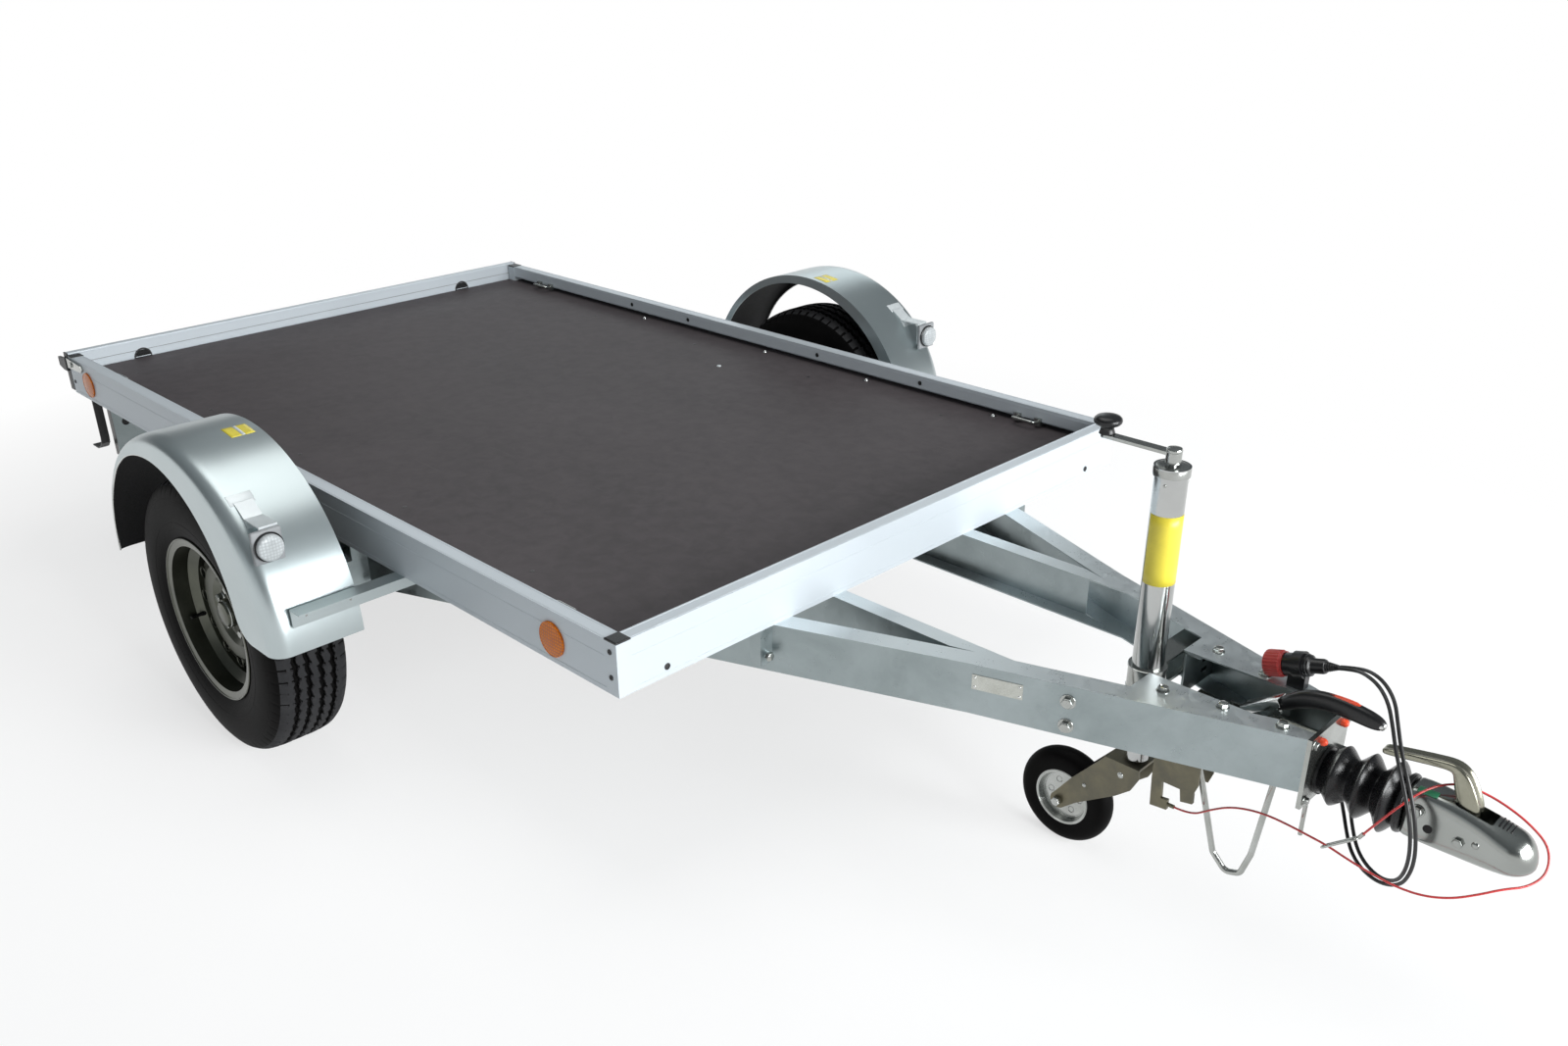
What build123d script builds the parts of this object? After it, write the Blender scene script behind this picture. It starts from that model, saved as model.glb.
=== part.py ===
from build123d import *
import math
import os

os.makedirs("parts", exist_ok=True)

# Single-axle flatbed trailer, millimetres, ground at z 0, +X forward, +Y left.

# ---- leading sizes ----
BED_WIDTH = 1590
BED_LENGTH = 2570
RAIL_TOP = 598
RAIL_HEIGHT = 110
BED_FRONT = 655
GAP = 5                       # clearance kept between parts that move
FIT = 0.05                    # radial clearance of a running fit

# ---- rails ----
RAIL_BOTTOM = RAIL_TOP - RAIL_HEIGHT
RAIL_OUT = BED_WIDTH / 2
RAIL_BOX = 33                 # width of the hollow top box
RAIL_BOX_DEPTH = 35
RAIL_WALL = 3
LEDGE = 40                    # ledge and lower flange reach inwards
POST = 34
CAP = 2
TAIL_THICK = 25
TAIL_GAP = 6
TAIL_OUT = BED_FRONT - BED_LENGTH
TAIL_IN = TAIL_OUT + TAIL_THICK
RAIL_REAR = TAIL_IN + TAIL_GAP

# ---- floor ----
PLY = 15
FLOOR_TOP = 548
FLOOR_BOTTOM = FLOOR_TOP - PLY
MEMBER_WIDTH = 50
MEMBER_WALL = 3
MEMBER_FIRST = BED_FRONT - 439
MEMBER_LAST = RAIL_REAR + 149
MEMBER_STEP = (MEMBER_FIRST - MEMBER_LAST) / 4
MEMBER_X = [MEMBER_FIRST - n * MEMBER_STEP for n in range(5)]
SILL_LENGTH = 40

# ---- drawbar ----
BEAM_TOP = RAIL_BOTTOM
BEAM_HEIGHT = 106
BEAM_BOTTOM = BEAM_TOP - BEAM_HEIGHT
BEAM_WALL = 3
BEAM_FLANGE = 47
BEND_X = 1025
BEND_Y = 262
REAR_SLOPE = 0.3865
FRONT_SLOPE = 0.328
BEAM_FRONT = 1595
BEAM_REAR = -275
GUSSET_X = 1285
GUSSET_Y = 60
LUG = 34
CHASSIS_OUT = 233
CHASSIS_IN = 195

# ---- wheels ----
WHEEL_X = -502
WHEEL_Y = RAIL_OUT + 177
TYRE_R = 325
TYRE_W = 188
BEAD_R = 178
FLANGE_R = 194.7
STUB_R = 15
AXLE_X = -330
AXLE_Z = 415
AXLE_SIZE = 70

# ---- mudguards ----
GUARD_IN = WHEEL_Y - 88
GUARD_OUT = WHEEL_Y + 112
GUARD_LONG = 402
GUARD_HIGH = 376
GUARD_Z = 383
GUARD_SHEET = 3
GUARD_ROLL = 38
GUARD_LIP = 42                # folded inwards along the rail side
ARCH_R = 254
ARCH_X = -513
ARCH_Z = 428
ARCH_CORNER = 60

# ---- jockey wheel ----
JOCKEY_X = 1247
JOCKEY_TRAIL = 144
JOCKEY_R = 105
JOCKEY_TUBE_R = 30
JOCKEY_INNER_R = 24
JOCKEY_TOP = 868
JOCKEY_FOOT = 410

# ---- overrun gear ----
SHAFT_Z = 397
SHAFT_R = 22
PLATE_THICK = 8
HOUSING_REAR = 1478
LEVER_X = 1432
LEVER_Z = 432
HEAD_X = 1752
HANDLE_X = 1844
HANDLE_Z = 416
BALL_X = 1915
BALL_Z = 374
BALL_R = 25.3


def block(x0, x1, y0, y1, z0, z1, mode=Mode.ADD):
    """Box between two corners."""
    with Locations(((x0 + x1) / 2, (y0 + y1) / 2, (z0 + z1) / 2)):
        Box(abs(x1 - x0), abs(y1 - y0), abs(z1 - z0), mode=mode)


def rod_x(x0, x1, y, z, r, mode=Mode.ADD):
    with Locations(((x0 + x1) / 2, y, z)):
        Cylinder(r, abs(x1 - x0), rotation=(0, 90, 0), mode=mode)


def rod_y(x, y0, y1, z, r, mode=Mode.ADD):
    with Locations((x, (y0 + y1) / 2, z)):
        Cylinder(r, abs(y1 - y0), rotation=(90, 0, 0), mode=mode)


def rod_z(x, y, z0, z1, r, mode=Mode.ADD):
    with Locations((x, y, (z0 + z1) / 2)):
        Cylinder(r, abs(z1 - z0), mode=mode)


def side_outline(points, y0, y1, mode=Mode.ADD):
    """Outline given as (x, z), spread from y0 to y1."""
    low = min(y0, y1)
    high = max(y0, y1)
    with BuildSketch(Plane.XZ.offset(-high)) as outline:
        Polygon(*points, align=None)
    extrude(outline.sketch, amount=high - low, mode=mode)


def plan_outline(points, z0, z1, mode=Mode.ADD):
    """Outline given as (x, y), spread from z0 to z1."""
    with BuildSketch(Plane.XY.offset(z0)) as outline:
        Polygon(*points, align=None)
    extrude(outline.sketch, amount=z1 - z0, mode=mode)


def end_outline(points, x0, x1, mode=Mode.ADD):
    """Outline given as (y, z), spread from x0 to x1."""
    with BuildSketch(Plane.YZ.offset(x0)) as outline:
        Polygon(*points, align=None)
    extrude(outline.sketch, amount=x1 - x0, mode=mode)


def ring_y(points, x, z, hand=1):
    """Revolved ring; points are (radius, y) about an axis along Y at x, z."""
    with BuildSketch(Plane(origin=(x, 0, z), x_dir=(1, 0, 0), z_dir=(0, 0, 1))) as outline:
        Polygon(*[(r, hand * y) for r, y in points], align=None)
    revolve(outline.sketch, axis=Axis((x, 0, z), (0, 1, 0)))


def beam_y(x, shift):
    """Distance from the centre line of the drawbar line moved inwards by shift."""
    rear = BEND_Y + REAR_SLOPE * (BEND_X - x) - shift * math.hypot(1, REAR_SLOPE)
    front = BEND_Y - FRONT_SLOPE * (x - BEND_X) - shift * math.hypot(1, FRONT_SLOPE)
    return max(rear, front)


def beam_bend(shift):
    """Length position of the bend of the line moved inwards by shift."""
    step = shift * (math.hypot(1, FRONT_SLOPE) - math.hypot(1, REAR_SLOPE))
    return BEND_X + step / (REAR_SLOPE - FRONT_SLOPE)


def beam_strip(side, outer, inner, x0, x1):
    """Plan outline between two lines parallel to the drawbar."""
    points = []
    for shift, order in ((outer, (x0, beam_bend(outer), x1)), (inner, (x1, beam_bend(inner), x0))):
        for x in order:
            points.append((x, side * beam_y(x, shift)))
    return points


def rail_profile(side, outer):
    """Cross-section of the rail as (across, z), outer face at the given distance."""
    face = side * outer
    web = side * (outer - RAIL_WALL)
    box = side * (outer - RAIL_BOX)
    lip = side * (outer - LEDGE)
    return [
        (face, RAIL_BOTTOM),
        (face, RAIL_TOP),
        (box, RAIL_TOP),
        (box, RAIL_TOP - RAIL_BOX_DEPTH),
        (web, RAIL_TOP - RAIL_BOX_DEPTH),
        (web, FLOOR_BOTTOM),
        (lip, FLOOR_BOTTOM),
        (lip, FLOOR_BOTTOM - RAIL_WALL),
        (web, FLOOR_BOTTOM - RAIL_WALL),
        (web, RAIL_BOTTOM + RAIL_WALL),
        (lip, RAIL_BOTTOM + RAIL_WALL),
        (lip, RAIL_BOTTOM),
    ]


def rail_hollow(side, outer):
    """Hollow of the rail's top box as (across, z)."""
    web = side * (outer - RAIL_WALL)
    box = side * (outer - RAIL_BOX + RAIL_WALL)
    return [
        (web, RAIL_TOP - RAIL_WALL),
        (box, RAIL_TOP - RAIL_WALL),
        (box, RAIL_TOP - RAIL_BOX_DEPTH + RAIL_WALL),
        (web, RAIL_TOP - RAIL_BOX_DEPTH + RAIL_WALL),
    ]


def save(piece, name):
    piece.part.label = name
    export_step(piece.part, "parts/" + name + ".step")


# ================= bed =================
def corner_post(x0, side):
    """Hollow post at a corner of the bed, under its cap."""
    inner = side * (RAIL_OUT - POST)
    outer = side * RAIL_OUT
    wall = side * RAIL_WALL
    top = RAIL_TOP - CAP
    block(x0, x0 + POST, inner, outer, RAIL_BOTTOM, top)
    block(
        x0 + RAIL_WALL, x0 + POST - RAIL_WALL, inner + wall, outer - wall,
        RAIL_BOTTOM, top, Mode.SUBTRACT,
    )


for hand, side in (("right", -1), ("left", 1)):
    with BuildPart() as side_rail:
        end_outline(rail_profile(side, RAIL_OUT), RAIL_REAR + POST, BED_FRONT - POST)
        end_outline(rail_hollow(side, RAIL_OUT), RAIL_REAR + POST, BED_FRONT - POST, Mode.SUBTRACT)
        corner_post(RAIL_REAR, side)
    save(side_rail, "side_rail_" + hand)

with BuildPart() as front_board:
    across = RAIL_OUT - POST
    side_outline(rail_profile(1, BED_FRONT), -across, across)
    side_outline(rail_hollow(1, BED_FRONT), -across, across, Mode.SUBTRACT)
    for side in (-1, 1):
        block(
            BED_FRONT - LEDGE - 1, BED_FRONT - POST, side * (RAIL_OUT - LEDGE), side * RAIL_OUT,
            RAIL_BOTTOM - 1, FLOOR_TOP, Mode.SUBTRACT,
        )
        corner_post(BED_FRONT - POST, side)
save(front_board, "front_board")

with BuildPart() as corner_caps:
    for side in (-1, 1):
        for x0 in (RAIL_REAR, BED_FRONT - POST):
            block(x0, x0 + POST, side * (RAIL_OUT - POST), side * RAIL_OUT, RAIL_TOP - CAP, RAIL_TOP + CAP)
    fillet(corner_caps.edges().group_by(Axis.Z)[-1], 2)
save(corner_caps, "corner_caps")

FLOOR_OUT = RAIL_OUT - RAIL_WALL - 1
FLOOR_REAR = RAIL_REAR
FLOOR_FRONT = BED_FRONT - RAIL_WALL - 1
with BuildPart() as floor_panel:
    block(FLOOR_REAR, FLOOR_FRONT, -FLOOR_OUT, FLOOR_OUT, FLOOR_BOTTOM, FLOOR_TOP)
    for side in (-1, 1):
        for x0 in (RAIL_REAR - 1, BED_FRONT - POST - 1):
            block(
                x0, x0 + POST + 2, side * (RAIL_OUT - POST - 1), side * RAIL_OUT,
                FLOOR_BOTTOM - 1, FLOOR_TOP + 1, Mode.SUBTRACT,
            )
save(floor_panel, "floor_panel")

with BuildPart() as cross_members:
    reach = RAIL_OUT - LEDGE
    for x in MEMBER_X:
        block(x - MEMBER_WIDTH / 2, x + MEMBER_WIDTH / 2, -reach, reach, RAIL_BOTTOM, FLOOR_BOTTOM)
        block(
            x - MEMBER_WIDTH / 2 + MEMBER_WALL, x + MEMBER_WIDTH / 2 - MEMBER_WALL, -reach, reach,
            RAIL_BOTTOM - 1, FLOOR_BOTTOM - MEMBER_WALL, Mode.SUBTRACT,
        )
    sill = RAIL_REAR + SILL_LENGTH
    block(RAIL_REAR, sill, -reach, reach, RAIL_BOTTOM, FLOOR_BOTTOM)
    block(
        RAIL_REAR + MEMBER_WALL, sill + 1, -reach - 1, reach + 1,
        RAIL_BOTTOM + MEMBER_WALL, FLOOR_BOTTOM - MEMBER_WALL, Mode.SUBTRACT,
    )
save(cross_members, "cross_members")

LASH_X = [BED_FRONT - 230, RAIL_REAR + 226]
LASH_LIFT = 4
with BuildPart() as lashing_rings:
    for side in (-1, 1):
        for x in LASH_X:
            wall = side * (RAIL_OUT - RAIL_BOX)
            foot = side * (RAIL_OUT - RAIL_BOX - 10)
            for dx in (-32, 32):
                block(x + dx - 9, x + dx + 9, wall, foot, FLOOR_TOP + LASH_LIFT, FLOOR_TOP + 24)
            path = [
                (x - 32, side * (RAIL_OUT - RAIL_BOX - 10), FLOOR_TOP + 14),
                (x - 32, side * (RAIL_OUT - RAIL_BOX - 32), FLOOR_TOP + 20),
                (x + 32, side * (RAIL_OUT - RAIL_BOX - 32), FLOOR_TOP + 20),
                (x + 32, side * (RAIL_OUT - RAIL_BOX - 10), FLOOR_TOP + 14),
            ]
            with BuildLine() as bar_line:
                FilletPolyline(*path, radius=9)
            with BuildSketch(Plane(origin=path[0], z_dir=bar_line.line % 0)):
                Circle(4)
            sweep(path=bar_line.line)
save(lashing_rings, "lashing_rings")

REFLECTOR_X = [BED_FRONT - 191, RAIL_REAR + 133]
REFLECTOR_R = 36
with BuildPart() as side_reflectors:
    for side in (-1, 1):
        for x in REFLECTOR_X:
            rod_y(x, side * RAIL_OUT, side * (RAIL_OUT + 6), 538, REFLECTOR_R)
save(side_reflectors, "side_reflectors")

# ================= tailboard =================
TAIL_BOTTOM = 492
TAIL_TOP = 603
HINGE_X = TAIL_OUT + TAIL_THICK / 2
HINGE_Z = 482
HINGE_Y = [-560, 0, 560]
KNUCKLE_R = 7
PIN_R = 3.5
TAIL_HALF = RAIL_OUT - 4
with BuildPart() as tailboard:
    block(TAIL_OUT, TAIL_IN, -TAIL_HALF, TAIL_HALF, TAIL_BOTTOM, TAIL_TOP)
    fillet(tailboard.edges().filter_by(Axis.Y), 3)
    for z0, z1 in ((TAIL_BOTTOM + 3, 548), (552, TAIL_TOP - 3)):
        block(TAIL_OUT + 3, TAIL_IN - 3, -TAIL_HALF - 1, TAIL_HALF + 1, z0, z1, Mode.SUBTRACT)
    for y in (-580, 559):
        rod_x(TAIL_IN - 1, TAIL_IN + 1, y, 531, 22, Mode.SUBTRACT)
save(tailboard, "tailboard")

with BuildPart() as tailboard_catches:
    for side in (-1, 1):
        block(TAIL_OUT, TAIL_IN, side * TAIL_HALF, side * (TAIL_HALF + 4), TAIL_BOTTOM, TAIL_TOP)
        side_outline(
            [(TAIL_IN, 552), (TAIL_IN, 590), (TAIL_OUT - 30, 586), (TAIL_OUT - 30, 560), (TAIL_OUT, 552)],
            side * (TAIL_HALF + 4), side * (TAIL_HALF + 12),
        )
save(tailboard_catches, "tailboard_catches")

with BuildPart() as tailboard_hinge_leaves:
    for y in HINGE_Y:
        for y0 in (y - 45, y + 16):
            rod_y(HINGE_X, y0, y0 + 29, HINGE_Z, KNUCKLE_R)
            block(HINGE_X - 5, HINGE_X + 5, y0, y0 + 29, HINGE_Z, TAIL_BOTTOM)
            rod_y(HINGE_X, y0 - 1, y0 + 30, HINGE_Z, PIN_R + FIT, Mode.SUBTRACT)
save(tailboard_hinge_leaves, "tailboard_hinge_leaves")

with BuildPart() as tailboard_hinge_pins:
    for y in HINGE_Y:
        rod_y(HINGE_X, y - 15, y + 15, HINGE_Z, KNUCKLE_R)
        rod_y(HINGE_X, y - 50, y + 50, HINGE_Z, PIN_R)
        block(HINGE_X, RAIL_REAR + 34, y - 15, y + 15, RAIL_BOTTOM - 5, RAIL_BOTTOM)
save(tailboard_hinge_pins, "tailboard_hinge_pins")

with BuildPart() as latch_levers:
    for side in (-1, 1):
        side_outline(
            [(RAIL_REAR, 564), (RAIL_REAR, 593), (RAIL_REAR + 100, 588), (RAIL_REAR + 112, 578),
             (RAIL_REAR + 100, 568)],
            side * RAIL_OUT, side * (RAIL_OUT + 6),
        )
        rod_y(RAIL_REAR + 30, side * (RAIL_OUT + 6), side * (RAIL_OUT + 10), 578, 8)
save(latch_levers, "latch_levers")

# ================= rear lamps =================
LAMP_FACE = RAIL_REAR + 39
LAMP_IN = RAIL_OUT - 177
LAMP_OUT = RAIL_OUT - 71
LAMP_LOW = 274
with BuildPart() as lamp_panels:
    for side in (-1, 1):
        block(LAMP_FACE, LAMP_FACE + 3, side * (LAMP_IN - 2), side * (LAMP_OUT + 2), LAMP_LOW - 2, RAIL_BOTTOM)
        rod_x(LAMP_FACE - 1, LAMP_FACE + 4, side * (LAMP_OUT - 35), 380, 12, Mode.SUBTRACT)
save(lamp_panels, "lamp_panels")

with BuildPart() as rear_lamps:
    for side in (-1, 1):
        block(RAIL_REAR, LAMP_FACE, side * LAMP_IN, side * LAMP_OUT, LAMP_LOW, LAMP_LOW + 143)
    fillet(rear_lamps.edges().group_by(Axis.X)[0], 6)
save(rear_lamps, "rear_lamps")

with BuildPart() as rear_lamp_guards:
    for side in (-1, 1):
        guard = [
            (8, RAIL_BOTTOM), (4, RAIL_BOTTOM), (4, 335), (0, 318), (-16, 303), (-38, 295), (-78, 295),
            (-78, 291), (-36, 291), (-13, 300), (4, 316), (8, 335),
        ]
        strip = [(RAIL_REAR + x, z) for x, z in guard]
        side_outline(strip, side * (RAIL_OUT - 60), side * (RAIL_OUT - 35))
save(rear_lamp_guards, "rear_lamp_guards")

# ================= drawbar and chassis =================
for hand, side in (("right", -1), ("left", 1)):
    with BuildPart() as drawbar:
        plan_outline(beam_strip(side, 0, BEAM_WALL, BEAM_REAR, BEAM_FRONT), BEAM_BOTTOM, BEAM_TOP)
        for z0 in (BEAM_BOTTOM, BEAM_TOP - BEAM_WALL):
            plan_outline(beam_strip(side, 0, BEAM_FLANGE, BEAM_REAR, BEAM_FRONT), z0, z0 + BEAM_WALL)
        gusset = [
            (GUSSET_X, side * beam_y(GUSSET_X, 0)),
            (BEAM_FRONT, side * beam_y(BEAM_FRONT, 0)),
            (BEAM_FRONT, side * GUSSET_Y),
            (GUSSET_X, side * GUSSET_Y),
        ]
        plan_outline(gusset, BEAM_TOP - BEAM_WALL, BEAM_TOP)
        front_cut = GUSSET_Y - 12
        block(BEND_X, BEAM_FRONT + 1, -side * 5, side * front_cut, BEAM_BOTTOM - 1, BEAM_TOP + 1, Mode.SUBTRACT)
        lug_y = beam_y(BED_FRONT, 0)
        lug = [
            (BED_FRONT - LUG, side * beam_y(BED_FRONT - LUG, 1)), (BED_FRONT - 4, side * beam_y(BED_FRONT - 4, 1)),
            (BED_FRONT - 4, side * (lug_y + 34)), (BED_FRONT - LUG, side * (lug_y + 34)),
        ]
        plan_outline(lug, 406, BEAM_TOP)
        rod_x(BED_FRONT - 4, BED_FRONT + 6, side * (lug_y + 20), 429, 8)
    save(drawbar, "drawbar_" + hand)

    with BuildPart() as chassis_beam:
        rear_x = RAIL_REAR + 6
        tip = beam_bend(BEAM_FLANGE)
        bend_y = beam_y(tip, BEAM_FLANGE)
        outer_x = BEND_X - (CHASSIS_OUT - beam_y(BEND_X, BEAM_FLANGE)) / REAR_SLOPE - 15
        inner_x = tip + (bend_y - CHASSIS_IN) / FRONT_SLOPE
        ends = [(outer_x, side * CHASSIS_OUT), (tip, side * bend_y), (inner_x, side * CHASSIS_IN)]
        plan_outline(ends + [(rear_x, side * CHASSIS_IN), (rear_x, side * CHASSIS_OUT)], BEAM_BOTTOM, BEAM_TOP)
        block(
            rear_x - 1, inner_x + 1, side * (CHASSIS_IN - 1), side * (CHASSIS_OUT - BEAM_WALL),
            BEAM_BOTTOM + BEAM_WALL, BEAM_TOP - BEAM_WALL, Mode.SUBTRACT,
        )
        half = AXLE_SIZE / 2
        block(
            AXLE_X - half, AXLE_X + half, side * (CHASSIS_IN - 1), side * (CHASSIS_OUT + 1),
            BEAM_BOTTOM - 1, AXLE_Z + half, Mode.SUBTRACT,
        )
    save(chassis_beam, "chassis_beam_" + hand)

# ================= axle =================
TUBE_END = WHEEL_Y - 160
ARM_IN = TUBE_END + 4
ARM_OUT = ARM_IN + 26
PLATE_OUT = ARM_OUT + 8
DRUM_Y = WHEEL_Y - 67
HALF = AXLE_SIZE / 2
with BuildPart() as axle_tube:
    block(AXLE_X - HALF, AXLE_X + HALF, -TUBE_END, TUBE_END, AXLE_Z - HALF, AXLE_Z + HALF)
    inner = HALF - 6
    block(
        AXLE_X - inner, AXLE_X + inner, -TUBE_END - 1, TUBE_END + 1, AXLE_Z - inner, AXLE_Z + inner,
        Mode.SUBTRACT,
    )
    for side in (-1, 1):
        block(AXLE_X - HALF, AXLE_X + HALF, side * 700, side * 792, AXLE_Z + HALF, RAIL_BOTTOM)
        block(
            AXLE_X - HALF + 5, AXLE_X + HALF - 5, side * 699, side * 793, AXLE_Z + HALF + 5,
            RAIL_BOTTOM - 5, Mode.SUBTRACT,
        )
save(axle_tube, "axle_tube")

WHEEL_Z = TYRE_R
with BuildPart() as swing_arms:
    for side in (-1, 1):
        direction = math.atan2(AXLE_Z - WHEEL_Z, AXLE_X - WHEEL_X)
        across_x = math.sin(direction)
        across_z = math.cos(direction)
        blade = [
            (AXLE_X - 40 * across_x, AXLE_Z + 40 * across_z),
            (AXLE_X + 40 * across_x, AXLE_Z - 40 * across_z),
            (WHEEL_X + 30 * across_x, WHEEL_Z - 30 * across_z),
            (WHEEL_X - 30 * across_x, WHEEL_Z + 30 * across_z),
        ]
        side_outline(blade, side * ARM_IN, side * ARM_OUT)
        rod_y(AXLE_X, side * ARM_IN, side * ARM_OUT, AXLE_Z, 40)
        rod_y(WHEEL_X, side * ARM_IN, side * ARM_OUT, WHEEL_Z, 30)
        rod_y(AXLE_X, side * (TUBE_END - 60), side * ARM_IN, AXLE_Z, HALF - 6)
        rod_y(WHEEL_X, side * ARM_OUT, side * 985, WHEEL_Z, STUB_R)
save(swing_arms, "swing_arms")

with BuildPart() as brake_plates:
    for side in (-1, 1):
        rod_y(WHEEL_X, side * ARM_OUT, side * PLATE_OUT, WHEEL_Z, 125)
        rod_y(WHEEL_X, side * (ARM_OUT - 1), side * (PLATE_OUT + 1), WHEEL_Z, STUB_R, Mode.SUBTRACT)
        rod_y(WHEEL_X + 80, side * (ARM_OUT - 30), side * ARM_OUT, WHEEL_Z - 50, 22)
save(brake_plates, "brake_plates")

HALF_TYRE = TYRE_W / 2
for hand, side in (("right", -1), ("left", 1)):
    with BuildPart() as tyre:
        ring_y(
            [
                (BEAD_R, WHEEL_Y - 78), (BEAD_R + 8, WHEEL_Y - 78), (FLANGE_R, WHEEL_Y - 82),
                (FLANGE_R + 8, WHEEL_Y - 86), (240, WHEEL_Y - HALF_TYRE),
                (270, WHEEL_Y - HALF_TYRE), (298, WHEEL_Y - 88), (313, WHEEL_Y - 78),
                (TYRE_R - 3, WHEEL_Y - 62), (TYRE_R, WHEEL_Y - 30), (TYRE_R, WHEEL_Y + 30),
                (TYRE_R - 3, WHEEL_Y + 62), (313, WHEEL_Y + 78), (298, WHEEL_Y + 88),
                (270, WHEEL_Y + HALF_TYRE), (240, WHEEL_Y + HALF_TYRE),
                (FLANGE_R + 8, WHEEL_Y + 86), (FLANGE_R, WHEEL_Y + 82), (BEAD_R + 8, WHEEL_Y + 78),
                (BEAD_R, WHEEL_Y + 78), (BEAD_R, WHEEL_Y + 64), (230, WHEEL_Y + 84),
                (290, WHEEL_Y + 80), (310, WHEEL_Y + 60), (310, WHEEL_Y - 60), (290, WHEEL_Y - 80),
                (230, WHEEL_Y - 84), (BEAD_R, WHEEL_Y - 64),
            ],
            WHEEL_X, WHEEL_Z, side,
        )
    save(tyre, "tyre_" + hand)

    with BuildPart() as rim:
        ring_y(
            [
                (BEAD_R, WHEEL_Y - 78), (FLANGE_R - 3, WHEEL_Y - 82 + 1), (FLANGE_R - 3, WHEEL_Y - 85),
                (BEAD_R - 4, WHEEL_Y - 82), (BEAD_R - 4, WHEEL_Y - 60), (154, WHEEL_Y - 40),
                (154, WHEEL_Y + 30), (BEAD_R - 4, WHEEL_Y + 44), (BEAD_R - 4, WHEEL_Y + 82),
                (FLANGE_R - 3, WHEEL_Y + 85), (FLANGE_R - 3, WHEEL_Y + 82 - 1), (BEAD_R, WHEEL_Y + 78),
                (BEAD_R, WHEEL_Y + 42), (158, WHEEL_Y + 27), (158, WHEEL_Y - 37), (BEAD_R, WHEEL_Y - 58),
            ],
            WHEEL_X, WHEEL_Z, side,
        )
        ring_y(
            [
                (34, WHEEL_Y + 20), (70, WHEEL_Y + 20), (84, WHEEL_Y + 30), (112, WHEEL_Y + 34),
                (138, WHEEL_Y + 26), (154, WHEEL_Y + 12), (154, WHEEL_Y + 8), (136, WHEEL_Y + 21),
                (112, WHEEL_Y + 29), (86, WHEEL_Y + 25), (72, WHEEL_Y + 15), (34, WHEEL_Y + 15),
            ],
            WHEEL_X, WHEEL_Z, side,
        )
        for n in range(12):
            turn = math.radians(30 * n)
            rod_y(
                WHEEL_X + 126 * math.cos(turn), side * (WHEEL_Y + 10), side * (WHEEL_Y + 40),
                WHEEL_Z + 126 * math.sin(turn), 13, Mode.SUBTRACT,
            )
    save(rim, "rim_" + hand)

    with BuildPart() as hub:
        ring_y(
            [
                (STUB_R + FIT, DRUM_Y), (120, DRUM_Y), (120, PLATE_OUT + GAP + 1), (112, PLATE_OUT + GAP + 1),
                (112, DRUM_Y - 8), (STUB_R + FIT, DRUM_Y - 8),
            ],
            WHEEL_X, WHEEL_Z, side,
        )
        ring_y(
            [
                (STUB_R + FIT, DRUM_Y - 1), (76, DRUM_Y - 1), (76, WHEEL_Y + 15), (33, WHEEL_Y + 15),
                (33, WHEEL_Y + 42), (26, WHEEL_Y + 48), (0, WHEEL_Y + 50), (0, WHEEL_Y + 18),
                (STUB_R + FIT, WHEEL_Y + 18),
            ],
            WHEEL_X, WHEEL_Z, side,
        )
    save(hub, "hub_" + hand)

# ================= mudguards =================


def half_ellipse(shrink, y0, y1, mode=Mode.ADD):
    """Upper half of the guard's ellipse, spread from y0 to y1."""
    low = min(y0, y1)
    high = max(y0, y1)
    with BuildSketch(Plane.XZ.offset(-high)) as outline:
        with Locations((WHEEL_X, GUARD_Z)):
            Ellipse(GUARD_LONG - shrink, GUARD_HIGH - shrink)
        with Locations((WHEEL_X, GUARD_Z - GUARD_HIGH)):
            Rectangle(3 * GUARD_LONG, 2 * GUARD_HIGH, mode=Mode.SUBTRACT)
    extrude(outline.sketch, amount=high - low, mode=mode)


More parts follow.
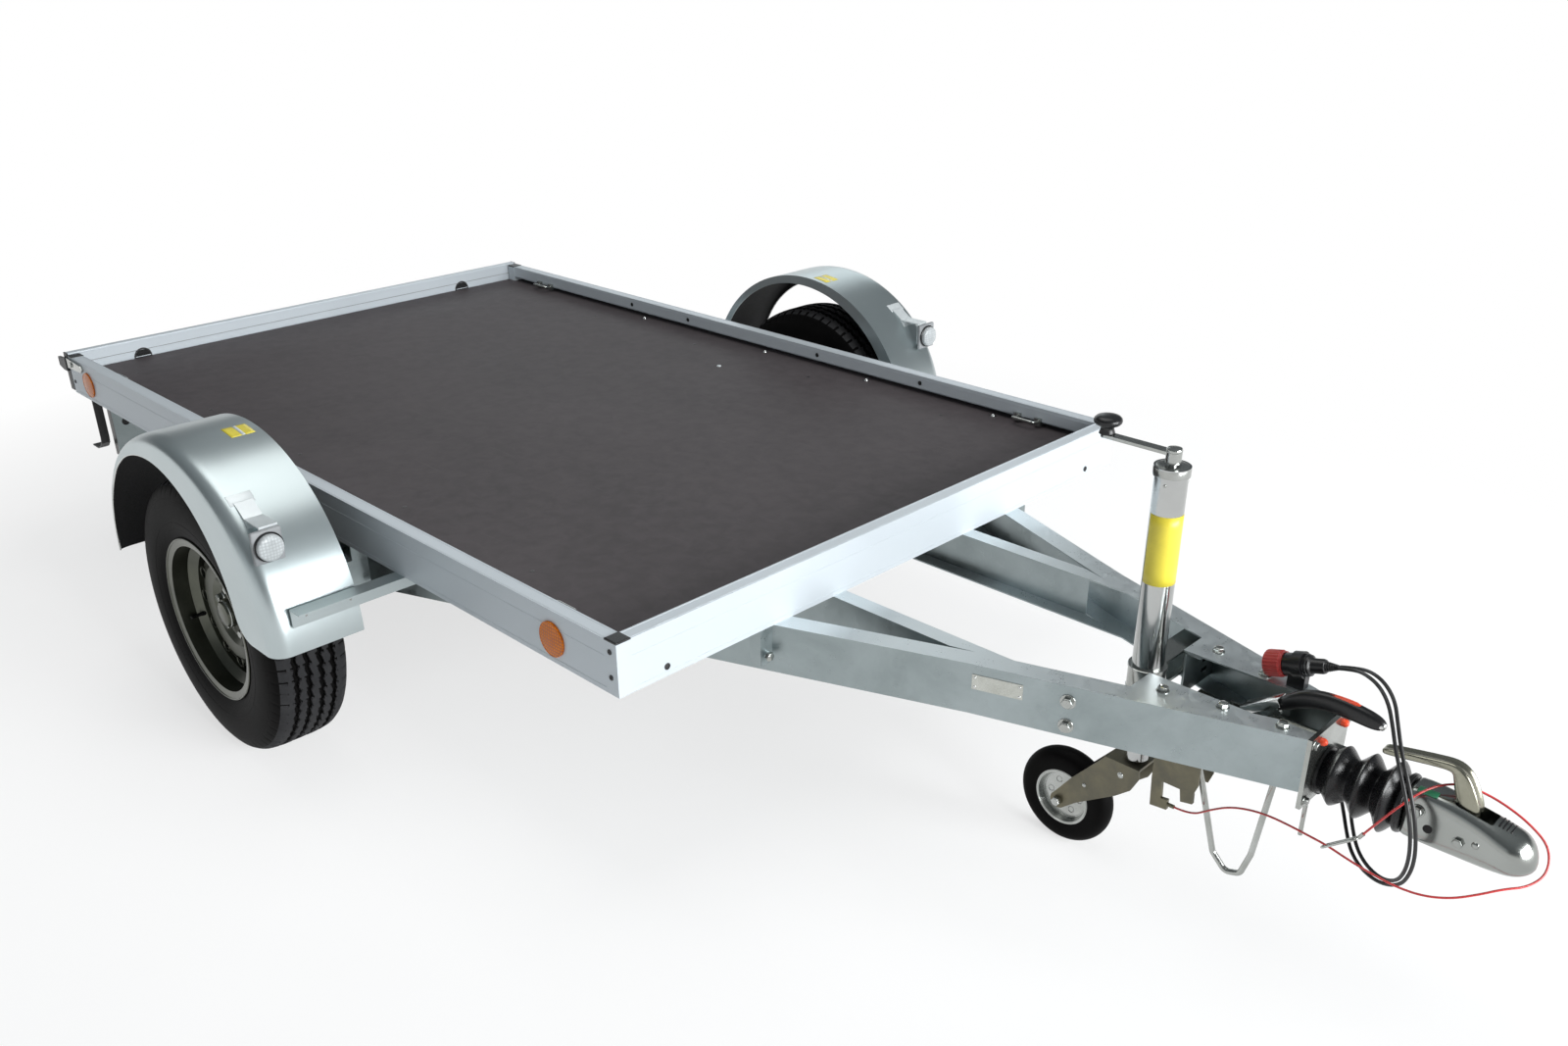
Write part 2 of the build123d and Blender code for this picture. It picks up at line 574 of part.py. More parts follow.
for hand, side in (("right", -1), ("left", 1)):
    end = -1 if side > 0 else 0
    with BuildPart() as guard_core:
        half_ellipse(GUARD_SHEET, side * (GUARD_IN - 5), side * (GUARD_OUT - GUARD_SHEET))
        rim_edges = guard_core.faces().sort_by(Axis.Y)[end].edges()
        fillet([edge for edge in rim_edges if edge.geom_type != GeomType.LINE], GUARD_ROLL - GUARD_SHEET)
        block(
            WHEEL_X - GUARD_LONG, WHEEL_X + GUARD_LONG, side * (GUARD_IN - 5),
            side * (GUARD_OUT - GUARD_SHEET - 40), GUARD_Z - 20, GUARD_Z, Mode.ADD,
        )
    with BuildPart() as mudguard:
        half_ellipse(0, side * GUARD_IN, side * GUARD_OUT)
        rim_edges = mudguard.faces().sort_by(Axis.Y)[end].edges()
        fillet([edge for edge in rim_edges if edge.geom_type != GeomType.LINE], GUARD_ROLL)
        add(guard_core.part, mode=Mode.SUBTRACT)
        half_ellipse(0, side * GUARD_IN, side * (GUARD_IN + GUARD_SHEET))
        half_ellipse(GUARD_LIP, side * (GUARD_IN - 1), side * (GUARD_IN + GUARD_SHEET), Mode.SUBTRACT)
        rod_y(ARCH_X, side * (GUARD_OUT - GUARD_ROLL), side * (GUARD_OUT + 5), ARCH_Z, ARCH_R, Mode.SUBTRACT)
        arch_half = math.sqrt(ARCH_R ** 2 - (ARCH_Z - GUARD_Z) ** 2)
        corners = []
        for edge in mudguard.edges().filter_by(Axis.Y):
            away = abs(edge.center().X - ARCH_X)
            low_end = abs(away - arch_half) < 1 and abs(edge.center().Z - GUARD_Z) < 1
            if low_end and edge.length < 2 * GUARD_SHEET:
                corners.append(edge)
        fillet(corners, ARCH_CORNER)
    save(mudguard, "mudguard_" + hand)

STAY_OUT = GUARD_OUT - 47
with BuildPart() as mudguard_stays:
    for side in (-1, 1):
        for flip in (1, -1):
            face = WHEEL_X + flip * GUARD_LONG
            block(face, face + flip * 40, side * (RAIL_OUT - 50), side * STAY_OUT, RAIL_BOTTOM - 3, RAIL_BOTTOM)
            block(face, face + flip * 3, side * (RAIL_OUT - 50), side * STAY_OUT, RAIL_BOTTOM - 43, RAIL_BOTTOM)
            for y in (GUARD_IN + 21, GUARD_OUT - 79):
                rod_x(face - flip * 40, face, side * y, RAIL_BOTTOM - 24, 10)
        half_ellipse(0, side * (GUARD_IN - 1), side * (GUARD_OUT + 1), Mode.SUBTRACT)
save(mudguard_stays, "mudguard_stays")

# ================= marker lamps =================
MARKER_Y = GUARD_OUT - 47
MARKER_FOOT = WHEEL_X + 0.626 * GUARD_LONG
MARKER_BACK = MARKER_FOOT + 98
FOOT_Z = GUARD_Z + GUARD_HIGH * math.sqrt(1 - 0.626 ** 2)
MARKER_TOP = FOOT_Z - 21
MARKER_Z = MARKER_TOP - 40
with BuildPart() as marker_brackets:
    for side in (-1, 1):
        y0 = side * (MARKER_Y - 31)
        y1 = side * (MARKER_Y + 9)
        foot = [
            (MARKER_FOOT, MARKER_TOP - 20), (MARKER_FOOT, MARKER_TOP + 24), (MARKER_FOOT + 36, MARKER_TOP),
            (MARKER_FOOT + 46, MARKER_TOP - 20),
        ]
        side_outline(foot, y0, y1)
        block(MARKER_FOOT + 30, MARKER_BACK, y0, y1, MARKER_TOP - 3, MARKER_TOP)
        block(MARKER_BACK - 3, MARKER_BACK, y0, y1, MARKER_TOP - 60, MARKER_TOP)
        half_ellipse(0, side * (GUARD_IN - 1), side * (GUARD_OUT + 1), Mode.SUBTRACT)
save(marker_brackets, "marker_brackets")

with BuildPart() as marker_lamps:
    for side in (-1, 1):
        block(
            MARKER_BACK, MARKER_BACK + 28, side * (MARKER_Y - 33), side * (MARKER_Y + 33),
            MARKER_Z - 36, MARKER_Z + 36,
        )
    fillet(marker_lamps.edges().filter_by(Axis.X), 12)
    fillet(marker_lamps.edges().group_by(Axis.X)[-1], 4)
save(marker_lamps, "marker_lamps")

# ================= overrun gear =================
PLATE_X = BEAM_FRONT + PLATE_THICK
with BuildPart() as overrun_housing:
    block(BEAM_FRONT, PLATE_X, -75, 75, 349, BEAM_TOP)
    rear_plate = [
        (HOUSING_REAR, -beam_y(HOUSING_REAR, BEAM_WALL)), (HOUSING_REAR, beam_y(HOUSING_REAR, BEAM_WALL)),
        (HOUSING_REAR + 8, beam_y(HOUSING_REAR + 8, BEAM_WALL)),
        (HOUSING_REAR + 8, -beam_y(HOUSING_REAR + 8, BEAM_WALL)),
    ]
    plan_outline(rear_plate, BEAM_BOTTOM + BEAM_WALL, 440)
    rod_x(HOUSING_REAR, BEAM_FRONT, 0, SHAFT_Z, SHAFT_R + 8)
    for side in (-1, 1):
        block(HOUSING_REAR, BEAM_FRONT, side * 38, side * 44, BEAM_BOTTOM + BEAM_WALL, 440)
        block(LEVER_X - 20, HOUSING_REAR, side * 10, side * 16, LEVER_Z - 27, LEVER_Z + 18)
    rod_y(LEVER_X, -16, 16, LEVER_Z, 6)
    rod_x(HOUSING_REAR - 1, PLATE_X + 1, 0, SHAFT_Z, SHAFT_R, Mode.SUBTRACT)
    rod_z(BEAM_FRONT + 4, -40, 277, 350, 4)
save(overrun_housing, "overrun_housing")

SHAFT_TIP = HEAD_X + 66
FOLD_X = 1633
FOLD_STEP = 44.5
FOLD_MID = 51
FOLD_DEPTH = 10
RUBBER = 3
with BuildPart() as bellows:
    outer = []
    for n in range(36):
        x = PLATE_X + 5 + n * (HEAD_X - PLATE_X - 14) / 35
        outer.append((x, SHAFT_Z + FOLD_MID + FOLD_DEPTH * math.cos(2 * math.pi * (x - FOLD_X) / FOLD_STEP)))
    inner = [(x, z - RUBBER) for x, z in reversed(outer)]
    with BuildSketch(Plane.XZ):
        with BuildLine():
            Spline(*outer)
            Spline(*inner)
            Line(outer[0], inner[-1])
            Line(outer[-1], inner[0])
        make_face()
    revolve(axis=Axis((0, 0, SHAFT_Z), (1, 0, 0)))
    for x0, x1, r in ((PLATE_X, PLATE_X + 6, 50), (HEAD_X - 10, HEAD_X, 52)):
        rod_x(x0, x1, 0, SHAFT_Z, r)
        rod_x(x0 - 1, x1 + 1, 0, SHAFT_Z, 40, Mode.SUBTRACT)
save(bellows, "bellows")

HEAD_HALF = 34
NOSE_R = 42
NOSE_X = BALL_X + 2
with BuildPart() as coupling_head:
    side_outline(
        [(HEAD_X, 350), (HEAD_X, 446), (1800, 448), (1850, 441), (1900, 433), (1932, 424), (1951, 410),
         (1959, 392), (1958, 370), (1951, 352), (1880, 348), (1800, 346)],
        -NOSE_R, NOSE_R,
    )
    with BuildSketch(Plane.XY.offset(300)) as head_plan:
        with Locations(((HEAD_X + NOSE_X) / 2, 0)):
            Rectangle(NOSE_X - HEAD_X, 2 * HEAD_HALF)
        with Locations((NOSE_X, 0)):
            Circle(NOSE_R)
    extrude(head_plan.sketch, amount=200, mode=Mode.INTERSECT)
    with Locations((BALL_X, 0, BALL_Z)):
        Sphere(BALL_R, mode=Mode.SUBTRACT)
    rod_z(BALL_X, 0, 300, BALL_Z, BALL_R, Mode.SUBTRACT)
    block(SHAFT_TIP + 6, 1886, -19, 19, 390, 470, Mode.SUBTRACT)
    rod_y(HANDLE_X, -HEAD_HALF, HEAD_HALF, HANDLE_Z, 6)
    rod_x(HOUSING_REAR + 2, SHAFT_TIP, 0, SHAFT_Z, SHAFT_R)
    rod_x(HOUSING_REAR + 1, SHAFT_TIP - 6, 0, SHAFT_Z, SHAFT_R - 6, Mode.SUBTRACT)
save(coupling_head, "coupling_head")

with BuildPart() as coupling_handle:
    side_outline(
        [(1693, 476), (1695, 487), (1798, 506), (1813, 508), (1827, 502), (1872, 431), (1862, 414),
         (1835, 424), (1810, 489), (1797, 492), (1700, 474)],
        -14, 14,
    )
    rod_y(HANDLE_X, -14, 14, HANDLE_Z, 14)
    rod_y(HANDLE_X, -15, 15, HANDLE_Z, 6 + FIT, Mode.SUBTRACT)
save(coupling_handle, "coupling_handle")

with BuildPart() as brake_lever:
    side_outline([(1427, 444), (1500, 491), (1514, 473), (1440, 420)], -4, 4)
    rod_y(LEVER_X, -4, 4, LEVER_Z, 14)
    rod_y(LEVER_X, -5, 5, LEVER_Z, 6 + FIT, Mode.SUBTRACT)
save(brake_lever, "brake_lever")

with BuildPart() as lever_grip:
    side_outline(
        [(1500, 491), (1524, 523), (1549, 537), (1586, 545), (1618, 546), (1661, 541), (1684, 531),
         (1683, 515), (1664, 508), (1625, 509), (1588, 513), (1555, 504), (1514, 473)],
        -12, 12,
    )
    plan = [(1490, -12), (1664, -12), (1684, -6), (1690, 0), (1684, 6), (1664, 12), (1490, 12)]
    with BuildSketch(Plane.XY.offset(450)) as grip_plan:
        Polygon(*plan, align=None)
    extrude(grip_plan.sketch, amount=120, mode=Mode.INTERSECT)
save(lever_grip, "lever_grip")

# ================= jockey wheel =================
HUB_X = JOCKEY_X - JOCKEY_TRAIL
with BuildPart() as jockey_bracket:
    for z0 in (415, 462):
        y0 = beam_y(JOCKEY_X - 22, BEAM_WALL)
        y1 = beam_y(JOCKEY_X + 22, BEAM_WALL)
        arm = [(JOCKEY_X - 22, 0), (JOCKEY_X + 22, 0), (JOCKEY_X + 22, y1), (JOCKEY_X - 22, y0)]
        plan_outline(arm, z0, z0 + 6)
    seat = [(JOCKEY_X - 22, y0 - 6), (JOCKEY_X + 22, y1 - 6), (JOCKEY_X + 22, y1), (JOCKEY_X - 22, y0)]
    plan_outline(seat, 415, 468)
    rod_z(JOCKEY_X, 0, 415, 468, JOCKEY_TUBE_R + 6)
    rod_z(JOCKEY_X, 0, 414, 469, JOCKEY_TUBE_R, Mode.SUBTRACT)
save(jockey_bracket, "jockey_bracket")

with BuildPart() as jockey_outer_tube:
    rod_z(JOCKEY_X, 0, JOCKEY_FOOT, JOCKEY_TOP, JOCKEY_TUBE_R)
    rod_z(JOCKEY_X, 0, JOCKEY_TOP - 18, JOCKEY_TOP, JOCKEY_TUBE_R + 3)
    rod_z(JOCKEY_X, 0, JOCKEY_FOOT - 1, JOCKEY_FOOT + 20, JOCKEY_INNER_R + FIT, Mode.SUBTRACT)
    rod_z(JOCKEY_X, 0, JOCKEY_FOOT + 20, JOCKEY_TOP - 18, JOCKEY_TUBE_R - 3, Mode.SUBTRACT)
    rod_z(JOCKEY_X, 0, JOCKEY_TOP - 19, JOCKEY_TOP + 1, 8 + FIT, Mode.SUBTRACT)
save(jockey_outer_tube, "jockey_outer_tube")

CROWN_TOP = 255
INNER_BOTTOM = 262
with BuildPart() as jockey_inner_tube:
    rod_z(JOCKEY_X, 0, INNER_BOTTOM, 690, JOCKEY_INNER_R)
    rod_z(JOCKEY_X, 0, INNER_BOTTOM + 28, 691, JOCKEY_INNER_R - 3, Mode.SUBTRACT)
    rod_z(JOCKEY_X, 0, INNER_BOTTOM - 1, INNER_BOTTOM + 29, 10 + FIT, Mode.SUBTRACT)
save(jockey_inner_tube, "jockey_inner_tube")

FORK_IN = 31
FORK_OUT = 35
with BuildPart() as jockey_fork:
    for side in (-1, 1):
        side_outline(
            [(HUB_X - 12, 118), (1130, 172), (1196, 249), (1198, CROWN_TOP), (1275, CROWN_TOP), (1277, 236),
             (1261, 203), (1231, 177), (1145, 118), (HUB_X + 10, 90)],
            side * FORK_IN, side * FORK_OUT,
        )
        rod_y(HUB_X, side * FORK_IN, side * FORK_OUT, JOCKEY_R, 18)
        rod_y(HUB_X, side * FORK_OUT, side * (FORK_OUT + 5), JOCKEY_R, 10)
    block(1200, 1274, -FORK_IN, FORK_IN, CROWN_TOP - 6, CROWN_TOP)
    rod_z(JOCKEY_X, 0, CROWN_TOP, INNER_BOTTOM + 20, 10)
    rod_y(HUB_X, -FORK_IN, FORK_IN, JOCKEY_R, 8)
save(jockey_fork, "jockey_fork")

with BuildPart() as jockey_tyre:
    ring_y(
        [(62, -22), (80, -25), (96, -20), (JOCKEY_R, -8), (JOCKEY_R, 8), (96, 20), (80, 25), (62, 22)],
        HUB_X, JOCKEY_R,
    )
save(jockey_tyre, "jockey_tyre")

with BuildPart() as jockey_rim:
    ring_y(
        [(8 + FIT, -28), (18, -28), (18, -8), (50, -8), (56, -22), (62, -22), (62, 22), (56, 22), (50, -2),
         (18, -2), (18, 28), (8 + FIT, 28)],
        HUB_X, JOCKEY_R,
    )
save(jockey_rim, "jockey_rim")

CRANK_REACH = 137
with BuildPart() as jockey_crank:
    rod_z(JOCKEY_X, 0, 840, JOCKEY_TOP + GAP, 8)
    rod_z(JOCKEY_X, 0, JOCKEY_TOP + GAP, 893, 14)
    block(JOCKEY_X - CRANK_REACH, JOCKEY_X, -11, 11, 887, 893)
    rod_z(JOCKEY_X - CRANK_REACH, 0, 887, 893, 11)
save(jockey_crank, "jockey_crank")

with BuildPart() as crank_knob:
    with BuildSketch(Plane.XZ):
        with Locations((JOCKEY_X - CRANK_REACH, 0)):
            Polygon((0, 893), (15, 893), (12, 906), (24, 912), (26, 919), (20, 927), (0, 929), align=None)
    revolve(axis=Axis((JOCKEY_X - CRANK_REACH, 0, 0), (0, 0, 1)))
save(crank_knob, "crank_knob")

# ================= under the drawbar =================
LINK_X0 = 1300
LINK_X1 = 1395
with BuildPart() as linkage_bracket:
    cross_half = beam_y(LINK_X1, BEAM_WALL)
    block(LINK_X0, LINK_X1, -cross_half, cross_half, BEAM_BOTTOM - 6, BEAM_BOTTOM)
    for side in (-1, 1):
        side_outline(
            [(LINK_X0, 252), (LINK_X0, BEAM_BOTTOM - 6), (LINK_X1, BEAM_BOTTOM - 6), (LINK_X1, 275),
             (LINK_X1 - 8, 252)],
            side * 26, side * 30,
        )
    side_outline([(1300, 252), (1303, 190), (1338, 194), (1338, 216), (1324, 214), (1322, 252)], -30, -22)
    side_outline([(1360, 252), (1364, 226), (1388, 231), (1387, 252)], -30, -22)
    rod_x(1338, 1352, -26, 205, 4)
    block(AXLE_X + HALF, 1310, -104, -96, BEAM_BOTTOM, BEAM_BOTTOM + 8)
    block(1304, 1330, -110, -90, BEAM_BOTTOM, BEAM_BOTTOM + 14)
save(linkage_bracket, "linkage_bracket")

LOOP_R = 6
loop_path = [(1352, 0, BEAM_BOTTOM - 6), (1389, 0, 262), (1429, 0, 128), (1459, 0, 98), (1488, 0, 108),
             (1503, 0, 160), (1526, 0, SHAFT_Z - SHAFT_R - 8)]
with BuildPart() as support_loop:
    with BuildLine() as loop_line:
        FilletPolyline(*loop_path, radius=16)
    with BuildSketch(Plane(origin=loop_path[0], z_dir=loop_line.line % 0)):
        Circle(LOOP_R)
    sweep(path=loop_line.line)
    block(1340, 1364, -8, 8, BEAM_BOTTOM - 10, BEAM_BOTTOM - 6)
    block(1340, 1364, -9, 9, BEAM_BOTTOM - 6, BEAM_BOTTOM + 10, Mode.SUBTRACT)
    rod_x(HOUSING_REAR, BEAM_FRONT, 0, SHAFT_Z, SHAFT_R + 8, Mode.SUBTRACT)
save(support_loop, "support_loop")

# ================= plug and cords =================
PLUG_START = (1438, 80, 513)
PLUG_RISE = 17
PLUG_PLANE = Plane(
    origin=PLUG_START, x_dir=(0, 1, 0),
    z_dir=(math.cos(math.radians(PLUG_RISE)), 0, math.sin(math.radians(PLUG_RISE))),
)


def along_plug(s0, s1, r, mode=Mode.ADD):
    """Cylinder on the plug's axis between two distances from the cap's end."""
    with Locations(PLUG_PLANE.offset((s0 + s1) / 2)):
        Cylinder(r, s1 - s0, mode=mode)


with BuildPart() as plug_cap:
    along_plug(0, 38, 25)
save(plug_cap, "plug_cap")

with BuildPart() as plug:
    along_plug(38, 86, 21)
    along_plug(86, 112, 14)
    along_plug(112, 136, 10)
save(plug, "plug")

with BuildPart() as plug_holder:
    along_plug(56, 74, 25)
    block(1484, 1516, 70, 90, BEAM_TOP, 522)
    along_plug(40, 90, 21, Mode.SUBTRACT)
    block(1480, 1520, 54, 106, BEAM_TOP - 20, BEAM_TOP, Mode.SUBTRACT)
save(plug_holder, "plug_holder")

with BuildPart() as cable_gland:
    block(PLATE_X, PLATE_X + 16, 53, 75, 396, 410)
save(cable_gland, "cable_gland")

relief = PLUG_PLANE.offset(136).origin


def rounded(points):
    """Bend radius at each inner point of a cord's route."""
    radii = []
    for a, b, c in zip(points, points[1:], points[2:]):
        first = Vector(*b) - Vector(*a)
        second = Vector(*c) - Vector(*b)
        half_turn = math.radians(first.get_angle(second)) / 2
        radii.append(0.45 * min(first.length, second.length) / math.tan(half_turn))
    return radii


CABLE_R = 3.25
cable_path = [
    (relief.X, relief.Y - 4, relief.Z), (relief.X + 27, relief.Y - 4, relief.Z + 8.25), (1624, 50, 574),
    (1657, 24, 577), (1686, -2, 566), (1707, -26, 543), (1725, -47, 518), (1744, -63, 491), (1763, -75, 461),
    (1779, -83, 428), (1789, -85, 392), (1793, -82, 355), (1790, -75, 319), (1778, -63, 286), (1751, -48, 266),
    (1718, -31, 265), (1689, -9, 274), (1667, 16, 291), (1648, 39, 314), (1626, 61, 338), (1612, 69, 364),
    (1612, 69, 396),
]
second_path = [
    (relief.X, relief.Y + 4, relief.Z), (relief.X + 29, relief.Y + 4, relief.Z + 8.87), (1630, 58, 578),
    (1664, 30, 582), (1694, 3, 571), (1714, -22, 545), (1732, -43, 520), (1751, -59, 493), (1770, -71, 463),
    (1786, -79, 430), (1796, -81, 393), (1801, -79, 356), (1798, -72, 318), (1785, -64, 281), (1751, -52, 259),
    (1714, -36, 257), (1682, -14, 266), (1659, 12, 283), (1639, 35, 306), (1620, 51, 334), (1612, 59, 362),
    (1612, 59, 396),
]
REIN_R = 2
rein_path = [
    (1352, -26, 205), (1388, -26, 205), (1424, -29, 236), (1460, -34, 263), (1499, -42, 282), (1541, -52, 295),
    (1583, -63, 302), (1624, -72, 305), (1661, -78, 306), (1703, -87, 303), (1745, -91, 299), (1788, -91, 295),
    (1830, -86, 297), (1867, -73, 306), (1898, -56, 321), (1926, -32, 334), (1954, -4, 338), (1969, 30, 353),
    (1956, 58, 384), (1919, 57, 412), (1882, 50, 432), (1850, 38, 447), (1818, 22, 457), (1794, -6, 459),
    (1775, -40, 452), (1755, -67, 426), (1734, -79, 392), (1716, -81, 360),
]
for name, route, thick in (
    ("power_cable", cable_path, CABLE_R),
    ("power_cable_second", second_path, CABLE_R),
    ("breakaway_cable", rein_path, REIN_R),
):
    bends = rounded(route)
    with BuildPart() as cord:
        with BuildLine() as cord_line:
            FilletPolyline(*route, radius=bends)
        cord_wire = cord_line.wires()[0]
        with BuildSketch(Plane(origin=route[0], z_dir=cord_wire % 0)):
            Circle(thick)
        sweep(path=cord_wire)
    save(cord, name)

cord_end = Vector(*rein_path[-1])
clip_point = Vector(*rein_path[8])
rein_way = (clip_point - Vector(*rein_path[7])).normalized()
RING_LONG = 58
RING_HALF = 8
RING_WIRE = 2.5
CRIMP = 12
crimp_way = (cord_end - Vector(*rein_path[-2])).normalized()
ring_start = cord_end + crimp_way * CRIMP
ring_way = (clip_point - ring_start).normalized()
ring_plane = Plane(origin=ring_start, x_dir=ring_way, z_dir=rein_way - ring_way * rein_way.dot(ring_way))
with BuildPart() as carabiner:
    with Locations(Plane(origin=cord_end + crimp_way * (CRIMP / 2), z_dir=crimp_way)):
        Cylinder(3.5, CRIMP)
    with BuildSketch(ring_plane) as ring_face:
        with Locations((RING_LONG / 2 + RING_HALF + RING_WIRE / 2, 0)):
            SlotCenterToCenter(RING_LONG, 2 * RING_HALF)
    ring_wire = ring_face.sketch.faces()[0].outer_wire()
    with BuildSketch(Plane(origin=ring_wire @ 0, z_dir=ring_wire % 0)) as ring_section:
        Circle(RING_WIRE)
    sweep(ring_section.sketch, path=ring_wire)
save(carabiner, "carabiner")
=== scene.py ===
"""Car transporter trailer: dresses the fixed frame with finishes and small parts.

Run as a script inside Blender. Lengths are metres in the frame's own axes:
X forward along the drawbar, Y to the left, Z up, with the ground at zero.
"""

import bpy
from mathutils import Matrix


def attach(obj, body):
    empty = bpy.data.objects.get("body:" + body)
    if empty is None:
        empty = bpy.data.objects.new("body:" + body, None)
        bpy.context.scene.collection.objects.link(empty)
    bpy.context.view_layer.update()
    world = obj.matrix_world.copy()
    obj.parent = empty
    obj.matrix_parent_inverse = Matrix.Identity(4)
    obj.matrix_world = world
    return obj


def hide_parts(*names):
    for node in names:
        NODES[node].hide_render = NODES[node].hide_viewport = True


bl_info = {
    "name": "Car Transporter Trailer Kit",
    "version": (1, 0, 0),
    "blender": (4, 5, 0),
    "location": "3D View > Sidebar > Trailer",
    "description": "Finishes, tyres, fasteners, cables and small parts for a braked transporter trailer",
    "category": "Object",
}

import math

import bmesh
import bpy
from mathutils import Matrix, Vector

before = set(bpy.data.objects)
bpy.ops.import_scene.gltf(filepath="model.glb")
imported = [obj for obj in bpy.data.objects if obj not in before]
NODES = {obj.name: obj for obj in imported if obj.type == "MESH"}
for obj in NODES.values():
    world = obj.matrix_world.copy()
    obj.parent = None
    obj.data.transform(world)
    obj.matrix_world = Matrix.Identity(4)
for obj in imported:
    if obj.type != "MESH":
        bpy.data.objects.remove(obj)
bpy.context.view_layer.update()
SIDES = (("right", -1), ("left", 1))

MM = 0.001


def at(x, y, z):
    """A point given in millimetres."""
    return Vector((x * MM, y * MM, z * MM))


# ------------------------------------------------------------------ properties
def length_prop(name, description, default):
    return bpy.props.FloatProperty(
        name=name, description=description, default=default, min=0.0, unit="LENGTH",
    )


def colour_prop(name, description, default):
    return bpy.props.FloatVectorProperty(
        name=name, description=description, default=default, size=3, min=0.0, max=1.0, subtype="COLOR"
    )


class TrailerSizes(bpy.types.PropertyGroup):
    """Sizes of the small parts."""

    groove_width: length_prop("Tread groove width", "Width of the four grooves round the tyre", 0.009)
    groove_depth: length_prop("Tread groove depth", "Depth of the grooves round the tyre", 0.007)
    sipe_depth: length_prop("Sipe depth", "Depth of the cuts across the tread ribs", 0.0035)
    power_cable_thickness: length_prop("Power cable", "Diameter of the lighting cable", 0.0065)
    breakaway_thickness: length_prop("Breakaway cable", "Diameter of the sleeved safety cable", 0.004)
    bolt_width: length_prop("Bolt width", "Width across the flats of the drawbar bolts", 0.019)
    rivet_width: length_prop("Rivet width", "Diameter of the plate and bracket rivets", 0.008)


class TrailerColours(bpy.types.PropertyGroup):
    """Colours of the finishes."""

    zinc_light: colour_prop("Zinc light", "Light flakes of the galvanised steel", (0.37, 0.42, 0.43))
    zinc_dark: colour_prop("Zinc dark", "Dark flakes of the galvanised steel", (0.28, 0.325, 0.33))
    aluminium: colour_prop("Aluminium", "Anodised rails", (0.60, 0.65, 0.69))
    floor_film: colour_prop("Floor film", "Dark film on the floor panel", (0.064, 0.055, 0.058))
    floor_wear: colour_prop("Floor wear", "Rubbed film on the floor panel", (0.112, 0.098, 0.102))
    label_yellow: colour_prop("Label", "Blank stickers", (0.80, 0.67, 0.06))
    breakaway_red: colour_prop("Breakaway cable", "Sleeve of the safety cable", (0.60, 0.035, 0.035))


# ------------------------------------------------------------------ shader building
def put(tree, kind, inputs=None, **settings):
    """Adds a node, sets it, and fills its inputs with sockets or values."""
    made = tree.nodes.new(kind)
    for key, value in settings.items():
        setattr(made, key, value)
    for key, value in (inputs or {}).items():
        if isinstance(value, bpy.types.NodeSocket):
            tree.links.new(value, made.inputs[key])
        else:
            made.inputs[key].default_value = value
    return made


def maths(tree, kind, a, b=0.0, clamp=False):
    return put(tree, "ShaderNodeMath", {0: a, 1: b}, operation=kind, use_clamp=clamp).outputs[0]


def spread(tree, value, low, high, to_low=0.0, to_high=1.0):
    made = put(
        tree, "ShaderNodeMapRange",
        {"Value": value, "From Min": low, "From Max": high, "To Min": to_low, "To Max": to_high},
    )
    return made.outputs["Result"]


def blend_colours(tree, factor, a, b, kind="MIX"):
    made = put(tree, "ShaderNodeMix", data_type="RGBA", blend_type=kind)
    for key, value in ((0, factor), (6, a), (7, b)):
        if isinstance(value, bpy.types.NodeSocket):
            tree.links.new(value, made.inputs[key])
        else:
            made.inputs[key].default_value = value
    return made.outputs[2]


def rgba(colour):
    return (colour[0], colour[1], colour[2], 1.0)


def shared_group(name, inputs, outputs, fill):
    """Builds a shader node group once and returns it."""
    found = bpy.data.node_groups.get(name)
    if found:
        return found
    tree = bpy.data.node_groups.new(name, "ShaderNodeTree")
    kinds = {"float": "NodeSocketFloat", "colour": "NodeSocketColor", "vector": "NodeSocketVector"}
    for label, kind, default in inputs:
        socket = tree.interface.new_socket(name=label, in_out="INPUT", socket_type=kinds[kind])
        if default is not None:
            socket.default_value = default
    for label, kind in outputs:
        tree.interface.new_socket(name=label, in_out="OUTPUT", socket_type=kinds[kind])
    entry = tree.nodes.new("NodeGroupInput")
    leave = tree.nodes.new("NodeGroupOutput")
    fill(tree, entry.outputs, leave.inputs)
    return tree


def fill_cloud(tree, given, out):
    """Soft patches of two tones."""
    field = put(
        tree, "ShaderNodeTexNoise",
        {
            "Vector": given["Vector"], "Scale": given["Scale"], "Detail": 5.0, "Roughness": 0.58,
            "Distortion": 0.4,
        },
    )
    mask = spread(tree, field.outputs["Fac"], 0.34, 0.66)
    tree.links.new(blend_colours(tree, mask, given["First"], given["Second"]), out["Color"])
    tree.links.new(mask, out["Mask"])


def fill_spangle(tree, given, out):
    """Crystal flakes of hot zinc."""
    warp = put(tree, "ShaderNodeTexNoise", {"Vector": given["Vector"], "Scale": 60.0, "Detail": 2.0})
    moved = put(
        tree, "ShaderNodeMix", {0: 0.012, 4: given["Vector"], 5: warp.outputs["Color"]},
        data_type="VECTOR",
    )
    cells = put(tree, "ShaderNodeTexVoronoi", {"Vector": moved.outputs[1], "Scale": given["Scale"]})
    parts = put(tree, "ShaderNodeSeparateColor", {"Color": cells.outputs["Color"]})
    fern = put(
        tree, "ShaderNodeTexNoise",
        {
            "Vector": given["Vector"], "Scale": maths(tree, "MULTIPLY", given["Scale"], 5.0),
            "Detail": 3.0,
        },
    )
    mask = maths(
        tree, "ADD", maths(tree, "MULTIPLY", parts.outputs[0], 0.7),
        maths(tree, "MULTIPLY", fern.outputs["Fac"], 0.3),
    )
    tree.links.new(mask, out["Mask"])
    tree.links.new(maths(tree, "MULTIPLY", mask, 0.5), out["Height"])


